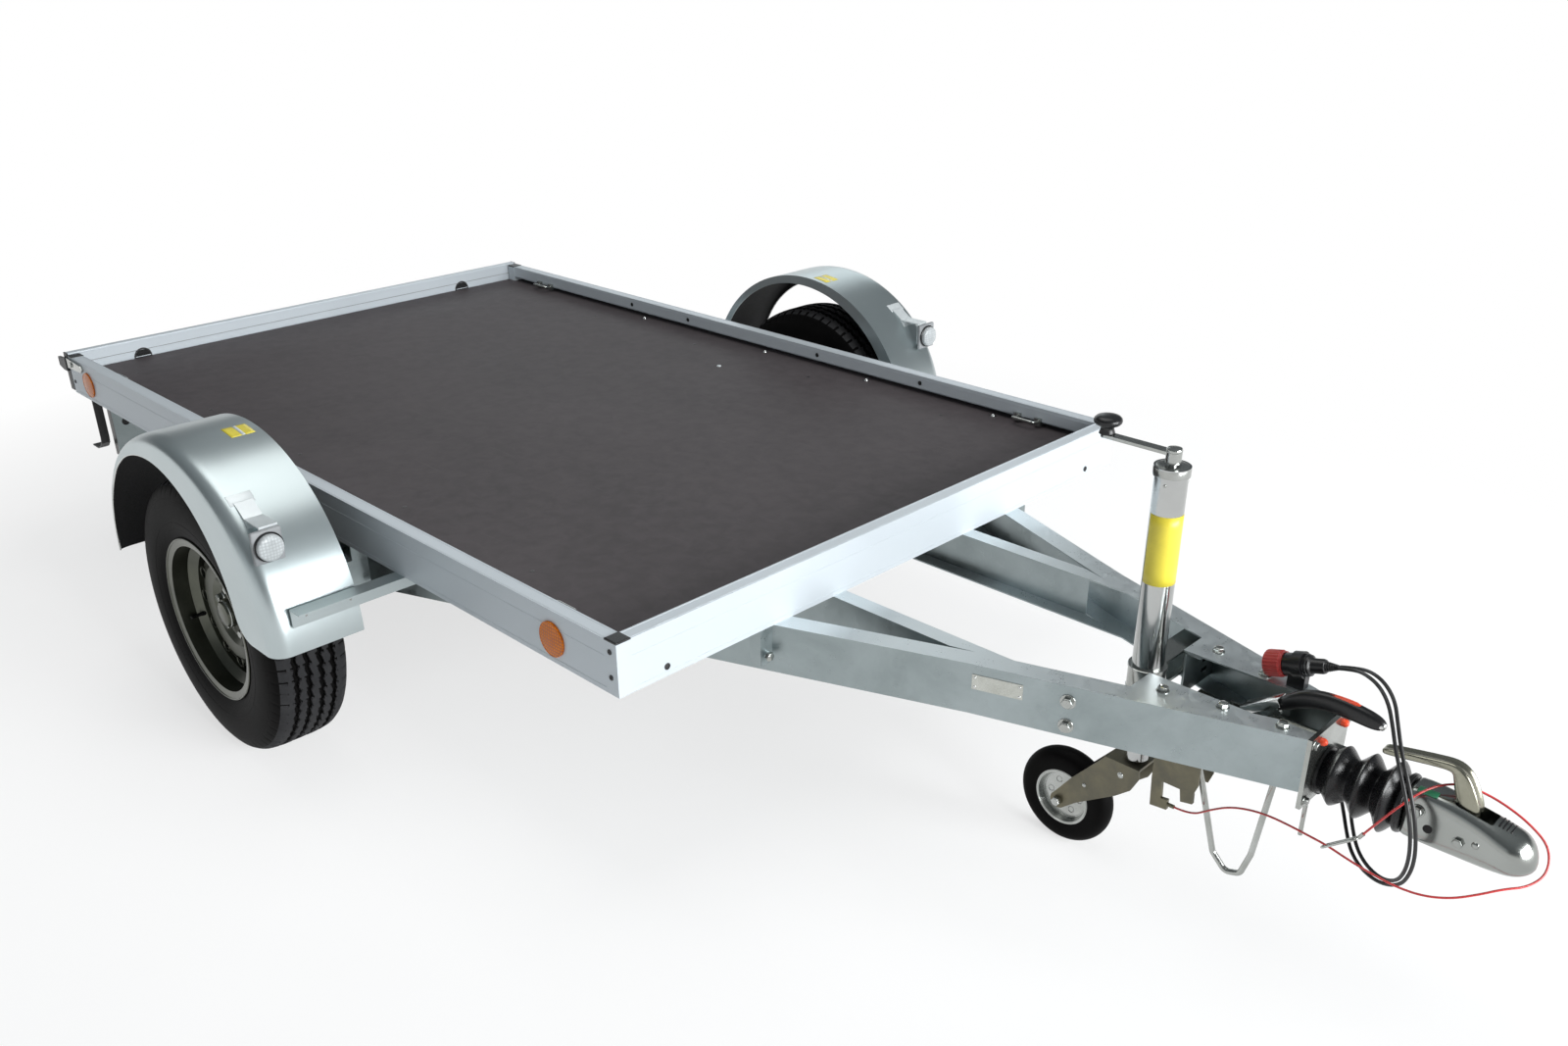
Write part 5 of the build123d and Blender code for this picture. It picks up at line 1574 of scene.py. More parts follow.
# ------------------------------------------------------------------ lamps
class TRAILER_OT_lamps(bpy.types.Operator):
    """Add lens bezels, lamp bodies and round reflectors"""

    bl_idname = "trailer.lamps"
    bl_label = "Lamps"

    def execute(self, context):
        for hand, side in SIDES:
            work = bmesh.new()
            middle = at(MARKER_BACK, side * 1037, MARKER_Z)
            soft_block(
                work, middle + at(0, -33, -36), middle + at(11, 33, 36), bevel=0.0045, steps=3,
            )
            stand("marker_body_" + hand, work, "grey_plastic", "chassis")
            work = bmesh.new()
            lathe(
                work,
                [
                    (0.0305, 0.0105), (0.0315, 0.0112), (0.0315, 0.0150), (0.0300, 0.0160),
                    (0.0285, 0.0150), (0.0285, 0.0105),
                ],
                middle, (1, 0, 0), 64,
            )
            stand("marker_bezel_" + hand, work, "black_plastic", "chassis")
            work = bmesh.new()
            lathe(
                work,
                [
                    (0.0283, 0.0105), (0.0283, 0.0205), (0.0274, 0.0232), (0.0255, 0.0248),
                    (0.0200, 0.0264), (0.0120, 0.0274), (0.0, 0.0278),
                ],
                middle, (1, 0, 0), 64,
            )
            stand("marker_lens_" + hand, work, "clear_lamp", "chassis")
            for x in (464, -1751):
                work = bmesh.new()
                place = at(x, side * RAIL_OUT, 538)
                lathe(
                    work,
                    [
                        (0.036, 0.0), (0.036, 0.0038), (0.0352, 0.0046), (0.0342, 0.0046),
                        (0.0336, 0.0040), (0.0250, 0.0050), (0.0120, 0.0058), (0.0, 0.0060),
                    ],
                    place, (0, side, 0), 64,
                )
                ends = "front" if x > 0 else "rear"
                stand("reflector_" + ends + "_" + hand, work, "amber_reflector", "chassis")
            for part, low, high, colour in (
                ("stop", 278, 348, "red_lamp"), ("turn", 351, 386, "amber_reflector"),
                ("reverse", 389, 413, "clear_lamp")
            ):
                work = bmesh.new()
                soft_block(
                    work, at(-1886, side * 671 - 50, low), at(-1883, side * 671 + 50, high),
                    bevel=0.0009, steps=2
                )
                stand("rear_" + part + "_lens_" + hand, work, colour, "chassis")
        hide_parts("marker_lamps")
        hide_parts("side_reflectors")
        return {"FINISHED"}


# ------------------------------------------------------------------ overrun gear
SHAFT_Z = 397.0


class TRAILER_OT_bellows(bpy.types.Operator):
    """Build the folded rubber boot of the overrun shaft"""

    bl_idname = "trailer.bellows"
    bl_label = "Rubber boot"

    def execute(self, context):
        work = bmesh.new()
        profile = [(0.030, 0.0), (0.0435, 0.0), (0.0440, 0.001), (0.0440, 0.005), (0.0420, 0.0065)]
        steps = 200
        for n in range(steps + 1):
            x = 1611.0 + 128.0 * n / steps
            fold = 1 - 2 * abs(((x - 1633.0) / 44.5 + 0.5) % 1.0 - 0.5)
            peak = 54.5 + 13.0 * ((x - 1611.0) / 128.0) ** 1.4
            radius = 38.0 + (peak - 38.0) * math.sin(math.pi / 2 * fold) ** 0.9 * (0.35 + 0.65 * fold)
            profile.append((radius * MM, (x - 1603.0) * MM))
        profile += [
            (0.0480, 0.1385), (0.0515, 0.1400), (0.0518, 0.1410), (0.0518, 0.1480), (0.0505, 0.1490),
            (0.030, 0.1490),
        ]
        lathe(work, profile, at(1603, 0, SHAFT_Z), (1, 0, 0), 96)
        piece = stand("overrun_boot", work, "black_rubber", "chassis", angle=60)
        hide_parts("bellows")
        work = bmesh.new()
        for x0, r in ((1605.2, 44.2), (1744.6, 52.0)):
            lathe(
                work,
                [(r * MM, 0.0), ((r + 0.9) * MM, 0.0002), ((r + 0.9) * MM, 0.0038), (r * MM, 0.004)],
                at(x0, 0, SHAFT_Z), (1, 0, 0), 80,
            )
        stand("boot_clips", work, "black_plastic", "chassis")
        return {"FINISHED"}


def cut_away(piece, work):
    """Takes the closed shape of a cutter out of a piece."""
    bmesh.ops.recalc_face_normals(work, faces=work.faces)
    mesh = bpy.data.meshes.new("cutter")
    work.to_mesh(mesh)
    work.free()
    cutter = bpy.data.objects.new("cutter", mesh)
    bpy.context.scene.collection.objects.link(cutter)
    bite = piece.modifiers.new("cut", "BOOLEAN")
    bite.operation = "DIFFERENCE"
    bite.solver = "EXACT"
    bite.object = cutter
    bake_modifiers(piece)
    bpy.data.objects.remove(cutter)
    bpy.data.meshes.remove(mesh)


HEAD_STATIONS = (
    # along, half width, bottom, top, squareness
    (1752.0, 32.0, 351.0, 443.0, 0.42), (1755.0, 34.0, 349.0, 446.0, 0.42),
    (1790.0, 34.0, 347.0, 447.0, 0.45), (1820.0, 33.0, 346.0, 444.0, 0.50),
    (1848.0, 32.5, 345.5, 439.0, 0.55), (1872.0, 34.0, 345.5, 435.0, 0.62),
    (1894.0, 37.5, 346.0, 431.5, 0.72), (1914.0, 39.5, 347.5, 427.0, 0.82),
)
NOSE_LONG = 43.0
NOSE_TIP = 375.0
SOCKET_RADIUS = 0.0253
NOSE_ANGLES = (14, 27, 39, 50, 60, 69, 77, 83, 88)


def build_head():
    """Pressed ball coupling head with a spoon-shaped nose."""
    work = bmesh.new()
    rings = []
    start, nose_wide, nose_low, nose_high, nose_power = HEAD_STATIONS[-1]
    stations = list(HEAD_STATIONS)
    for angle in NOSE_ANGLES:
        ahead = math.sin(math.radians(angle))
        across = math.cos(math.radians(angle))
        stations.append((
            start + NOSE_LONG * ahead, nose_wide * across, NOSE_TIP - (NOSE_TIP - nose_low) * across,
            NOSE_TIP + (nose_high - NOSE_TIP) * across, nose_power + (1 - nose_power) * ahead,
        ))
    for x, wide, low, high, power in stations:
        middle_z = (low + high) / 2
        tall = (high - low) / 2
        ring = []
        for k in range(48):
            t = 2 * math.pi * k / 48
            c, s = math.cos(t), math.sin(t)
            u = math.copysign(abs(c) ** power, c)
            v = math.copysign(abs(s) ** power, s)
            narrow = 1 - 0.13 * max(0.0, v) ** 2 * (1 - 0.5 * power)
            ring.append(at(x, wide * u * narrow, middle_z + tall * v))
        rings.append(ring)
    loft(work, rings)
    piece = stand("coupling_shell", work, "cast_zinc", "chassis", angle=50)
    subdivide(piece, 1)
    slot = bmesh.new()
    soft_block(slot, at(1824, -19, 392), at(1886, 19, 470), bevel=0.004, steps=3)
    cut_away(piece, slot)
    socket = bmesh.new()
    cup = [(0.0, -0.075), (SOCKET_RADIUS, -0.075), (SOCKET_RADIUS, 0.0)]
    for n in range(1, 12):
        turn = math.radians(90 * n / 12)
        cup.append((SOCKET_RADIUS * math.cos(turn), SOCKET_RADIUS * math.sin(turn)))
    cup.append((0.0, SOCKET_RADIUS))
    lathe(socket, cup, at(1915, 0, 374), (0, 0, 1), 48)
    bmesh.ops.remove_doubles(socket, verts=socket.verts, dist=1e-6)
    cut_away(piece, socket)
    piece.data.shade_smooth()
    piece.data.set_sharp_from_angle(angle=math.radians(62))
    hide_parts("coupling_head")
    work = bmesh.new()
    lathe(
        work,
        [(0.0, -0.2720), (0.0218, -0.2720), (0.0220, -0.2700), (0.0220, 0.0), (0.0, 0.0)],
        at(1752, 0, SHAFT_Z), (1, 0, 0), 48,
    )
    stand("coupling_shaft", work, "zinc_steel", "chassis")
    work = bmesh.new()
    lathe(
        work,
        [(0.0, 0.0), (0.0058, 0.0), (0.0060, 0.0004), (0.0060, 0.0384), (0.0058, 0.0388), (0.0, 0.0388)],
        at(1844, -19.4, 416), (0, 1, 0), 24,
    )
    stand("handle_pin", work, "zinc_steel", "chassis")


HANDLE_STATIONS = (
    # along, up, half thickness, half width
    (1694.0, 481.0, 3.0, 9.0), (1696.0, 481.5, 5.0, 12.0), (1702.0, 482.5, 6.0, 13.4),
    (1725.0, 486.5, 6.6, 13.8), (1755.0, 492.0, 7.0, 13.8), (1782.0, 496.5, 7.4, 13.8),
    (1799.0, 498.8, 8.0, 13.8), (1811.0, 498.0, 9.2, 13.8), (1819.0, 491.0, 13.0, 15.0),
    (1826.0, 480.0, 16.0, 15.6), (1832.0, 466.0, 18.0, 15.8), (1839.0, 450.0, 19.0, 15.6),
    (1846.5, 434.0, 18.0, 15.2), (1850.0, 424.0, 13.0, 14.6),
)


def build_handle():
    """Pressed coupling lever, arched over the shaft, with rolled sides and dimples."""
    work = bmesh.new()
    rings = []
    count = len(HANDLE_STATIONS)
    for n, (x, z, thick, wide) in enumerate(HANDLE_STATIONS):
        a = HANDLE_STATIONS[max(n - 1, 0)]
        b = HANDLE_STATIONS[min(n + 1, count - 1)]
        lean = math.atan2(b[1] - a[1], b[0] - a[0])
        ring = []
        for k in range(32):
            t = 2 * math.pi * k / 32
            c, s = math.cos(t), math.sin(t)
            u = wide * math.copysign(abs(c) ** 0.55, c)
            v = thick * math.copysign(abs(s) ** 0.55, s)
            if s > 0:
                v -= 0.28 * thick * max(0.0, 1 - (u / (0.72 * wide)) ** 2)
            ring.append(at(x - v * math.sin(lean), u, z + v * math.cos(lean)))
        rings.append(ring)
    loft(work, rings)
    piece = stand("coupling_lever", work, "handle_zinc", "coupling_handle", angle=60)
    subdivide(piece, 1)
    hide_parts("coupling_handle")
    work = bmesh.new()
    lathe(
        work,
        [
            (0.0062, 0.0), (0.0135, 0.0), (0.0140, 0.0006), (0.0140, 0.0274), (0.0135, 0.0280),
            (0.0062, 0.0280),
        ],
        at(1844, -14, 416), (0, 1, 0), 40, closed=True,
    )
    stand("lever_eye", work, "handle_zinc", "coupling_handle")
    work = bmesh.new()
    for side in (-1, 1):
        for x, z in ((1826, 486), (1834, 470), (1841, 454)):
            dome_head(work, at(x, side * 13.2, z), (0, side, 0), 0.0062, 0.0016)
    stand("lever_dimples", work, "handle_zinc", "coupling_handle")


class TRAILER_OT_coupling(bpy.types.Operator):
    """Detail the ball coupling: grip ribs, bolts and marker"""

    bl_idname = "trailer.coupling"
    bl_label = "Coupling details"

    def execute(self, context):
        build_head()
        build_handle()
        work = bmesh.new()
        for side in (-1, 1):
            hex_bolt(
                work, at(1846, side * 31.4, 384), (0, side, 0), 0.0155, 0.0065, washer=0.020, turn=0.3,
            )
            dome_head(work, at(1872, side * 32.6, 392), (0, side, 0), 0.013, 0.005, rim=0.0015)
            hex_bolt(
                work, at(1776, side * 33.0, 412), (0, side, 0), 0.017, 0.007, washer=0.024, turn=0.1,
            )
        stand("coupling_fittings", work, "cast_zinc", "chassis")
        work = bmesh.new()
        for n in range(5):
            x = 1892 + 6.2 * n
            z = 431.4 - 0.27 * (x - 1894) - 0.0042 * (x - 1894) ** 2
            soft_block(work, at(x, -13, z - 4), at(x + 3.0, 13, z + 2.0), bevel=0.0009, steps=2)
        stand("coupling_grip_ribs", work, "black_plastic", "chassis")
        # Painted shade: flat black discs stand for the dark inside the holes in the coupling head's
        # sides.
        work = bmesh.new()
        for side in (-1, 1):
            lathe(
                work, [(0.0075, 0.0), (0.0075, 0.0005), (0.0060, 0.0006), (0.0, 0.0006)],
                at(1797, side * 34, 386), (0, side, 0), 28,
            )
        stand("coupling_hole_shade", work, "shadow_black", "chassis")
        work = bmesh.new()
        soft_block(work, at(1766, -27, 443), at(1798, -12, 447.6), bevel=0.0012, steps=2)
        stand("coupling_indicator", work, "green_mark", "chassis")
        return {"FINISHED"}


class TRAILER_OT_handbrake(bpy.types.Operator):
    """Shape the moulded handbrake grip with its red insert and button"""

    bl_idname = "trailer.handbrake"
    bl_label = "Handbrake grip"

    def execute(self, context):
        work = bmesh.new()
        stations = [
            (1500, 482, 9.5, 8.5), (1516, 494, 12.5, 11.0), (1532, 506, 15.0, 12.0),
            (1550, 518, 16.0, 12.2), (1575, 526, 16.5, 12.2), (1600, 528, 16.8, 12.2),
            (1626, 527, 17.0, 12.2), (1648, 525, 16.2, 12.0), (1666, 523, 14.8, 11.5),
            (1679, 521, 12.2, 10.0), (1687, 520, 8.0, 6.5), (1689.5, 519.5, 3.0, 2.5),
        ]
        rings = []
        count = len(stations)
        steps = 28
        power = 0.82
        for n, (x, z, high, wide) in enumerate(stations):
            a = stations[max(n - 1, 0)]
            b = stations[min(n + 1, count - 1)]
            lean = math.atan2(b[1] - a[1], b[0] - a[0])
            ring = []
            for k in range(steps):
                t = 2 * math.pi * k / steps
                c, s = math.cos(t), math.sin(t)
                u = wide * math.copysign(abs(c) ** power, c)
                v = high * math.copysign(abs(s) ** power, s)
                if s < 0 and 1540 < x < 1670:
                    v += 1.3 * math.cos((x - 1540) / 22.0 * 2 * math.pi) * (-s)
                ring.append(at(x - v * math.sin(lean), u, z + v * math.cos(lean)))
            rings.append(ring)
        loft(work, rings)
        piece = stand("handbrake_grip", work, "black_plastic", "brake_lever", angle=60)
        subdivide(piece, 2)
        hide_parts("lever_grip")
        work = bmesh.new()
        insert = [
            (1582, 541.0), (1590, 542.2), (1606, 543.4), (1622, 543.6), (1636, 542.8), (1643, 541.2),
        ]
        upper = []
        for n, (x, z) in enumerate(insert):
            half = 5.6 if 0 < n < len(insert) - 1 else 3.2
            upper.append([
                work.verts.new(at(x, y, z + lift))
                for y, lift in (
                    (-half, -1.6), (-half * 0.8, 0.7), (0.0, 1.4), (half * 0.8, 0.7), (half, -1.6),
                )
            ])
        for a, b in zip(upper, upper[1:]):
            for k in range(4):
                work.faces.new([a[k], a[k + 1], b[k + 1], b[k]])
        work.faces.new(upper[0])
        work.faces.new(upper[-1][::-1])
        stand("handbrake_insert", work, "signal_red", "brake_lever", angle=60)
        work = bmesh.new()
        lathe(
            work,
            [
                (0.0085, -0.010), (0.0085, -0.0035), (0.0078, -0.0008), (0.0060, 0.0012),
                (0.0030, 0.0022), (0.0, 0.0024),
            ],
            at(1688.0, 0, 519.5), (0.99, 0, -0.1), 32,
        )
        stand("handbrake_button", work, "bright_steel", "brake_lever")
        work = bmesh.new()
        run = Vector((0.841, 0, 0.541))
        matrix = Matrix((run, Vector((0, 1, 0)), run.cross(Vector((0, 1, 0))))).transposed().to_4x4()
        matrix.translation = at(1443, 0, 461)
        soft_block(work, (0, -0.0150, -0.001), (0.079, 0.0150, 0.0025), bevel=0.0014, matrix=matrix)
        for y in (-0.0150, 0.0125):
            soft_block(work, (0, y, -0.014), (0.077, y + 0.0025, 0.001), bevel=0.0009, matrix=matrix)
        stand("handbrake_channel", work, "bright_steel", "brake_lever")
        return {"FINISHED"}


# ------------------------------------------------------------------ plug
PLUG_START = (1438, 80, 513)
PLUG_TURN = math.radians(17)
PLUG_AXIS = Vector((math.cos(PLUG_TURN), 0, math.sin(PLUG_TURN)))


class TRAILER_OT_plug(bpy.types.Operator):
    """Build the parked plug with its ribbed red cap and tapered cable relief"""

    bl_idname = "trailer.plug"
    bl_label = "Plug"

    def execute(self, context):
        start = at(*PLUG_START)
        work = bmesh.new()
        rings = lathe(
            work,
            [
                (0.0, 0.0003), (0.014, 0.0003), (0.0205, 0.001), (0.0232, 0.0035), (0.0240, 0.007),
                (0.0240, 0.013), (0.0240, 0.020), (0.0240, 0.028), (0.0240, 0.032), (0.0228, 0.0345),
                (0.0228, 0.0378), (0.019, 0.038),
            ],
            start, PLUG_AXIS, 96,
        )
        for n, ring in enumerate(rings):
            if n % 4 in (0, 1):
                for vert in ring[3:9]:
                    off = vert.co - start
                    along = PLUG_AXIS * off.dot(PLUG_AXIS)
                    vert.co = start + along + (off - along) * 1.038
        piece = stand("plug_cap_ribbed", work, "red_plastic", "chassis", angle=30)
        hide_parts("plug_cap")
        work = bmesh.new()
        profile = [(0.0, 0.038), (0.0205, 0.038), (0.0208, 0.040), (0.0208, 0.056)]
        for n in range(5):
            s = 0.057 + 0.0052 * n
            profile += [(0.0196, s), (0.0208, s + 0.0012), (0.0208, s + 0.0034), (0.0196, s + 0.0046)]
        profile += [
            (0.0190, 0.086), (0.0150, 0.0885), (0.0138, 0.092), (0.0138, 0.108), (0.0125, 0.1115),
            (0.0098, 0.1125),
        ]
        for n in range(6):
            s = 0.1135 + 0.0038 * n
            r = 0.0096 - 0.0009 * n
            profile += [(r, s), (r, s + 0.0018), (r - 0.0014, s + 0.0024), (r - 0.0014, s + 0.0034)]
        profile += [(0.0034, 0.1359), (0.0, 0.1360)]
        lathe(work, profile, start, PLUG_AXIS, 64)
        piece = stand("plug_body", work, "black_plastic", "chassis", angle=35)
        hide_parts("plug")
        work = bmesh.new()
        for x, y in ((1612, 69), (1612, 59)):
            lathe(
                work,
                [
                    (0.0, -0.0005), (0.0048, -0.0005), (0.0052, -0.004), (0.0048, -0.010),
                    (0.0040, -0.020), (0.0034, -0.024),
                ],
                at(x, y, 396), (0, 0, 1), 24,
            )
        stand("gland_sleeves", work, "cable_rubber", "chassis")
        return {"FINISHED"}


# ------------------------------------------------------------------ jockey wheel
JOCKEY_X = 1247.0
CRANK_REACH = 137.0


def build_knob(place):
    """Mushroom knob on a tapered neck at the crank's end."""
    work = bmesh.new()
    lathe(
        work,
        [
            (0.0, 0.0), (0.0140, 0.0), (0.0148, 0.0008), (0.0140, 0.0040), (0.0122, 0.0090),
            (0.0124, 0.0130), (0.0160, 0.0165), (0.0225, 0.0185), (0.0252, 0.0215), (0.0260, 0.0250),
            (0.0250, 0.0290), (0.0215, 0.0325), (0.0150, 0.0347), (0.0070, 0.0357), (0.0, 0.0359),
        ],
        place, (0, 0, 1), 64,
    )
    piece = stand("knob_round", work, "black_plastic", "jockey_crank", angle=60)
    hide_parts("crank_knob")


class TRAILER_OT_jockey(bpy.types.Operator):
    """Detail the jockey wheel: tyre, fork rivets, clamp and crank eye"""

    bl_idname = "trailer.jockey"
    bl_label = "Jockey wheel details"

    def execute(self, context):
        build_knob(at(JOCKEY_X - CRANK_REACH, 0, 893))
        hub = at(1103, 0, 105)
        work = bmesh.new()
        profile = [(0.0615, -0.0222)]
        for n in range(21):
            t = math.pi * n / 20
            profile.append(
                ((80 + 24.8 * math.sin(t) ** 0.8) * MM if 0 < n < 20 else 0.075, -0.0246 * math.cos(t))
            )
        profile.append((0.0615, 0.0222))
        lathe(work, profile, hub, (0, 1, 0), 96)
        piece = stand("jockey_tyre_round", work, "tyre_rubber", "jockey_wheel", angle=60)
        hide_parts("jockey_tyre")
        work = bmesh.new()
        for side in (-1, 1):
            axis = (0, side, 0)
            for r, s in ((0.0590, 0.0222), (0.0500, 0.0130 if side > 0 else 0.0090)):
                lathe(
                    work,
                    [
                        (r - 0.0016, s - 0.0012), (r - 0.0008, s + 0.0004), (r + 0.0008, s + 0.0004),
                        (r + 0.0016, s - 0.0012),
                    ],
                    hub, axis, 64,
                )
            for n in range(6):
                a = math.radians(60 * n)
                place = hub + at(34 * math.cos(a), side * (8 if side < 0 else 2), 34 * math.sin(a))
                lathe(
                    work, [(0.0052, -0.0002), (0.0062, 0.0008), (0.0072, 0.0006), (0.0078, -0.0002)],
                    place, axis, 20
                )
        stand("jockey_rim_press", work, "zinc_steel", "jockey_wheel")
        work = bmesh.new()
        for side in (-1, 1):
            axis = (0, side, 0)
            hex_bolt(work, hub + Vector((0, side * 0.0398, 0)), axis, 0.017, 0.0075, turn=0.25)
            dome_head(work, at(1237, side * 34.8, 228), axis, 0.011, 0.003, rim=0.001)
            dome_head(work, at(1160, side * 34.8, 168), axis, 0.009, 0.0025)
        stand("jockey_fork_bolts", work, "zinc_steel", "jockey_fork")
        work = bmesh.new()
        centre = at(JOCKEY_X, 0, 0)
        for z in (415, 462):
            lathe(
                work,
                [(0.0362, 0.0), (0.0372, 0.0006), (0.0372, 0.0054), (0.0362, 0.006)],
                centre + at(0, 0, z), (0, 0, 1), 64,
            )
        lathe(
            work,
            [
                (0.0302, 0.0), (0.0322, 0.0004), (0.0332, 0.0016), (0.0332, 0.0150), (0.0322, 0.0172),
                (0.0290, 0.0180), (0.0200, 0.0184), (0.0150, 0.0184),
            ],
            centre + at(0, 0, 850), (0, 0, 1), 72,
        )
        for n in range(3):
            a = math.radians(120 * n - 80)
            dome_head(
                work, centre + at(30 * math.cos(a), 30 * math.sin(a), 838),
                (math.cos(a), math.sin(a), 0),
                0.006, 0.0015,
            )
        stand("jockey_collars", work, "zinc_steel", "chassis")
        work = bmesh.new()
        points = [
            at(JOCKEY_X + 38, -18, 441), at(JOCKEY_X + 46, -30, 441), at(JOCKEY_X + 47, -62, 444),
            at(JOCKEY_X + 44, -88, 452),
        ]
        tube_along(work, points, 0.0045, 12)
        hex_bolt(work, at(JOCKEY_X + 34, -18, 441), (1, 0, 0), 0.019, 0.010, turn=0.2)
        stand("jockey_clamp_handle", work, "zinc_steel", "chassis")
        work = bmesh.new()
        lathe(
            work,
            [
                (0.0, 0.0), (0.0135, 0.0), (0.0142, 0.001), (0.0142, 0.0055), (0.0128, 0.0075),
                (0.0070, 0.0085), (0.0, 0.0086),
            ],
            at(JOCKEY_X, 0, 892.5), (0, 0, 1), 40,
        )
        stand("crank_eye", work, "zinc_steel", "jockey_crank")
        return {"FINISHED"}


# ------------------------------------------------------------------ stage
class TRAILER_OT_stage(bpy.types.Operator):
    """Lay the pale floor and hang the soft lights"""

    bl_idname = "trailer.stage"
    bl_label = "Stage"

    def execute(self, context):
        work = bmesh.new()
        rings = (0.0, 1.0, 2.0, 3.0, 5.0, 9.0, 20.0, 60.0, 140.0)
        lathe(work, [(r, 0.0) for r in rings], (0, 0, -0.0002), (0, 0, 1), 96)
        mesh = bpy.data.meshes.new("Floor")
        work.to_mesh(mesh)
        work.free()
        floor = bpy.data.objects.new("Floor", mesh)
        context.scene.collection.objects.link(floor)
        mesh.materials.append(floor_paint())
        world = context.scene.world or bpy.data.worlds.new("Studio")
        context.scene.world = world
        world.use_nodes = True
        tree = world.node_tree
        tree.nodes.clear()
        way = put(tree, "ShaderNodeTexCoord").outputs["Generated"]
        height = put(tree, "ShaderNodeSeparateXYZ", {0: way}).outputs["Z"]
        ramp = put(tree, "ShaderNodeValToRGB", {"Fac": spread(tree, height, -0.05, 0.95)})
        ramp.color_ramp.elements[0].color = (0.10, 0.11, 0.12, 1)
        ramp.color_ramp.elements[1].color = (0.62, 0.67, 0.70, 1)
        shade = put(tree, "ShaderNodeBackground", {"Color": ramp.outputs["Color"], "Strength": 0.42})
        white = put(tree, "ShaderNodeBackground", {"Color": (1, 1, 1, 1), "Strength": 1.0})
        rays = put(tree, "ShaderNodeLightPath")
        mirrored = maths(
            tree, "MAXIMUM", rays.outputs["Is Glossy Ray"], rays.outputs["Is Transmission Ray"],
        )
        low = maths(tree, "MULTIPLY", mirrored, spread(tree, height, 0.05, 0.22, 1.0, 0.0))
        share = maths(tree, "MAXIMUM", rays.outputs["Is Camera Ray"], low)
        mixed = put(tree, "ShaderNodeMixShader", {0: share, 1: shade.outputs[0], 2: white.outputs[0]})
        out = put(tree, "ShaderNodeOutputWorld")
        tree.links.new(mixed.outputs[0], out.inputs["Surface"])
        for name, place, aim, size, power, colour in (
            ("Front window", (6.4, 0.6, 1.9), (0.2, 0.0, 0.5), (4.6, 2.4), 560.0, (0.97, 0.99, 1.0)),
            ("Rear window", (-5.6, 4.8, 3.4), (-0.2, 0.0, 0.5), (6.0, 2.6), 70.0, (0.92, 0.98, 1.0)),
            ("Ceiling light", (-0.6, 0.0, 5.6), (-0.6, 0.0, 0.5), (4.6, 3.6), 110.0, (1.0, 0.99, 0.97)),
            ("Side fill", (0.8, -6.0, 2.0), (0.2, -0.4, 0.4), (4.0, 1.6), 8.0, (0.93, 0.98, 1.0)),
        ):
            lamp = bpy.data.lights.new(name, "AREA")
            lamp.shape = "RECTANGLE"
            lamp.size, lamp.size_y = size
            lamp.energy = power
            lamp.color = colour
            holder = bpy.data.objects.new(name, lamp)
            context.scene.collection.objects.link(holder)
            holder.location = place
            holder.rotation_euler = (Vector(aim) - Vector(place)).to_track_quat("-Z", "Y").to_euler()
        context.scene.view_settings.view_transform = "Standard"
        return {"FINISHED"}


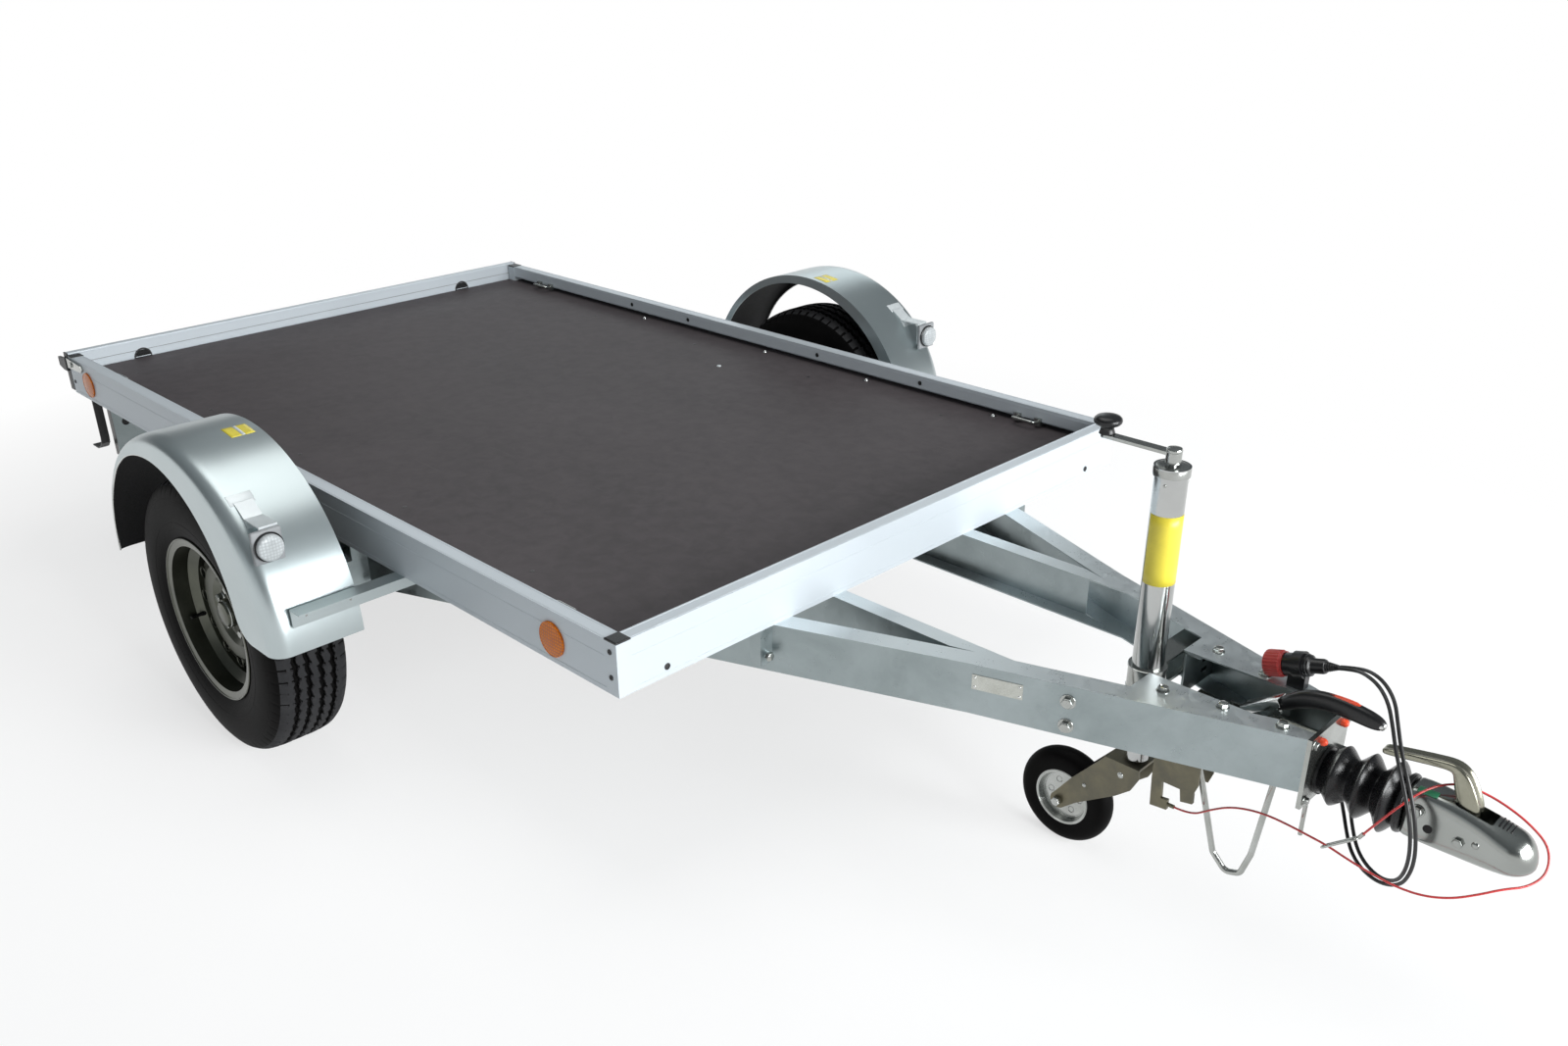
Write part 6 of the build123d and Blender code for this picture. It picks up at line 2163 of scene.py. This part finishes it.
def floor_paint():
    """White floor that keeps the soft shadow near the trailer."""
    made, tree = fresh_material("White floor")
    place = put(tree, "ShaderNodeTexCoord").outputs["Object"]
    grain = put(tree, "ShaderNodeTexNoise", {"Vector": place, "Scale": 3.0, "Detail": 4.0})
    colour = blend_colours(
        tree, spread(tree, grain.outputs["Fac"], 0.3, 0.7), (0.93, 0.93, 0.93, 1), (0.95, 0.95, 0.95, 1)
    )
    matt = put(tree, "ShaderNodeBsdfDiffuse", {"Color": colour, "Roughness": 0.9})
    lit = put(tree, "ShaderNodeEmission", {"Color": (1, 1, 1, 1), "Strength": 1.0})
    rays = put(tree, "ShaderNodeLightPath")
    seen = maths(
        tree, "MAXIMUM", rays.outputs["Is Camera Ray"],
        maths(tree, "MAXIMUM", rays.outputs["Is Glossy Ray"], rays.outputs["Is Transmission Ray"]),
    )
    flat = put(tree, "ShaderNodeVectorMath", {0: place, 1: (0.95, 1.25, 0.0)}, operation="MULTIPLY")
    away = put(tree, "ShaderNodeVectorMath", {0: flat.outputs[0]}, operation="LENGTH").outputs["Value"]
    far = spread(tree, away, 2.3, 3.4, 0.66, 1.0)
    share = maths(tree, "MULTIPLY", far, seen)
    mixed = put(tree, "ShaderNodeMixShader", {0: share, 1: matt.outputs[0], 2: lit.outputs[0]})
    close_material(tree, mixed)
    return made


# ------------------------------------------------------------------ panel and run
class TRAILER_PT_panel(bpy.types.Panel):
    """Lists the trailer's pieces and their values"""

    bl_idname = "TRAILER_PT_panel"
    bl_label = "Trailer"
    bl_space_type = "VIEW_3D"
    bl_region_type = "UI"
    bl_category = "Trailer"

    def draw(self, context):
        layout = self.layout
        for group in (context.scene.trailer_sizes, context.scene.trailer_colours):
            box = layout.box()
            for key in group.__class__.__annotations__:
                box.prop(group, key)
        for step in STEPS:
            layout.operator(step.bl_idname)


STEPS = (
    TRAILER_OT_camera, TRAILER_OT_cords, TRAILER_OT_finishes, TRAILER_OT_tyres, TRAILER_OT_wheels,
    TRAILER_OT_mudguards, TRAILER_OT_rails, TRAILER_OT_fasteners, TRAILER_OT_labels, TRAILER_OT_lamps,
    TRAILER_OT_bellows, TRAILER_OT_coupling, TRAILER_OT_handbrake, TRAILER_OT_plug, TRAILER_OT_jockey,
    TRAILER_OT_stage,
)
CLASSES = (TrailerSizes, TrailerColours, *STEPS, TRAILER_PT_panel)


def register():
    for made in CLASSES:
        bpy.utils.register_class(made)
    bpy.types.Scene.trailer_sizes = bpy.props.PointerProperty(type=TrailerSizes)
    bpy.types.Scene.trailer_colours = bpy.props.PointerProperty(type=TrailerColours)


def unregister():
    del bpy.types.Scene.trailer_colours
    del bpy.types.Scene.trailer_sizes
    for made in reversed(CLASSES):
        bpy.utils.unregister_class(made)


def main():
    register()
    for step in STEPS:
        group, action = step.bl_idname.split(".")
        getattr(getattr(bpy.ops, group), action)()


if __name__ == "__main__":
    main()
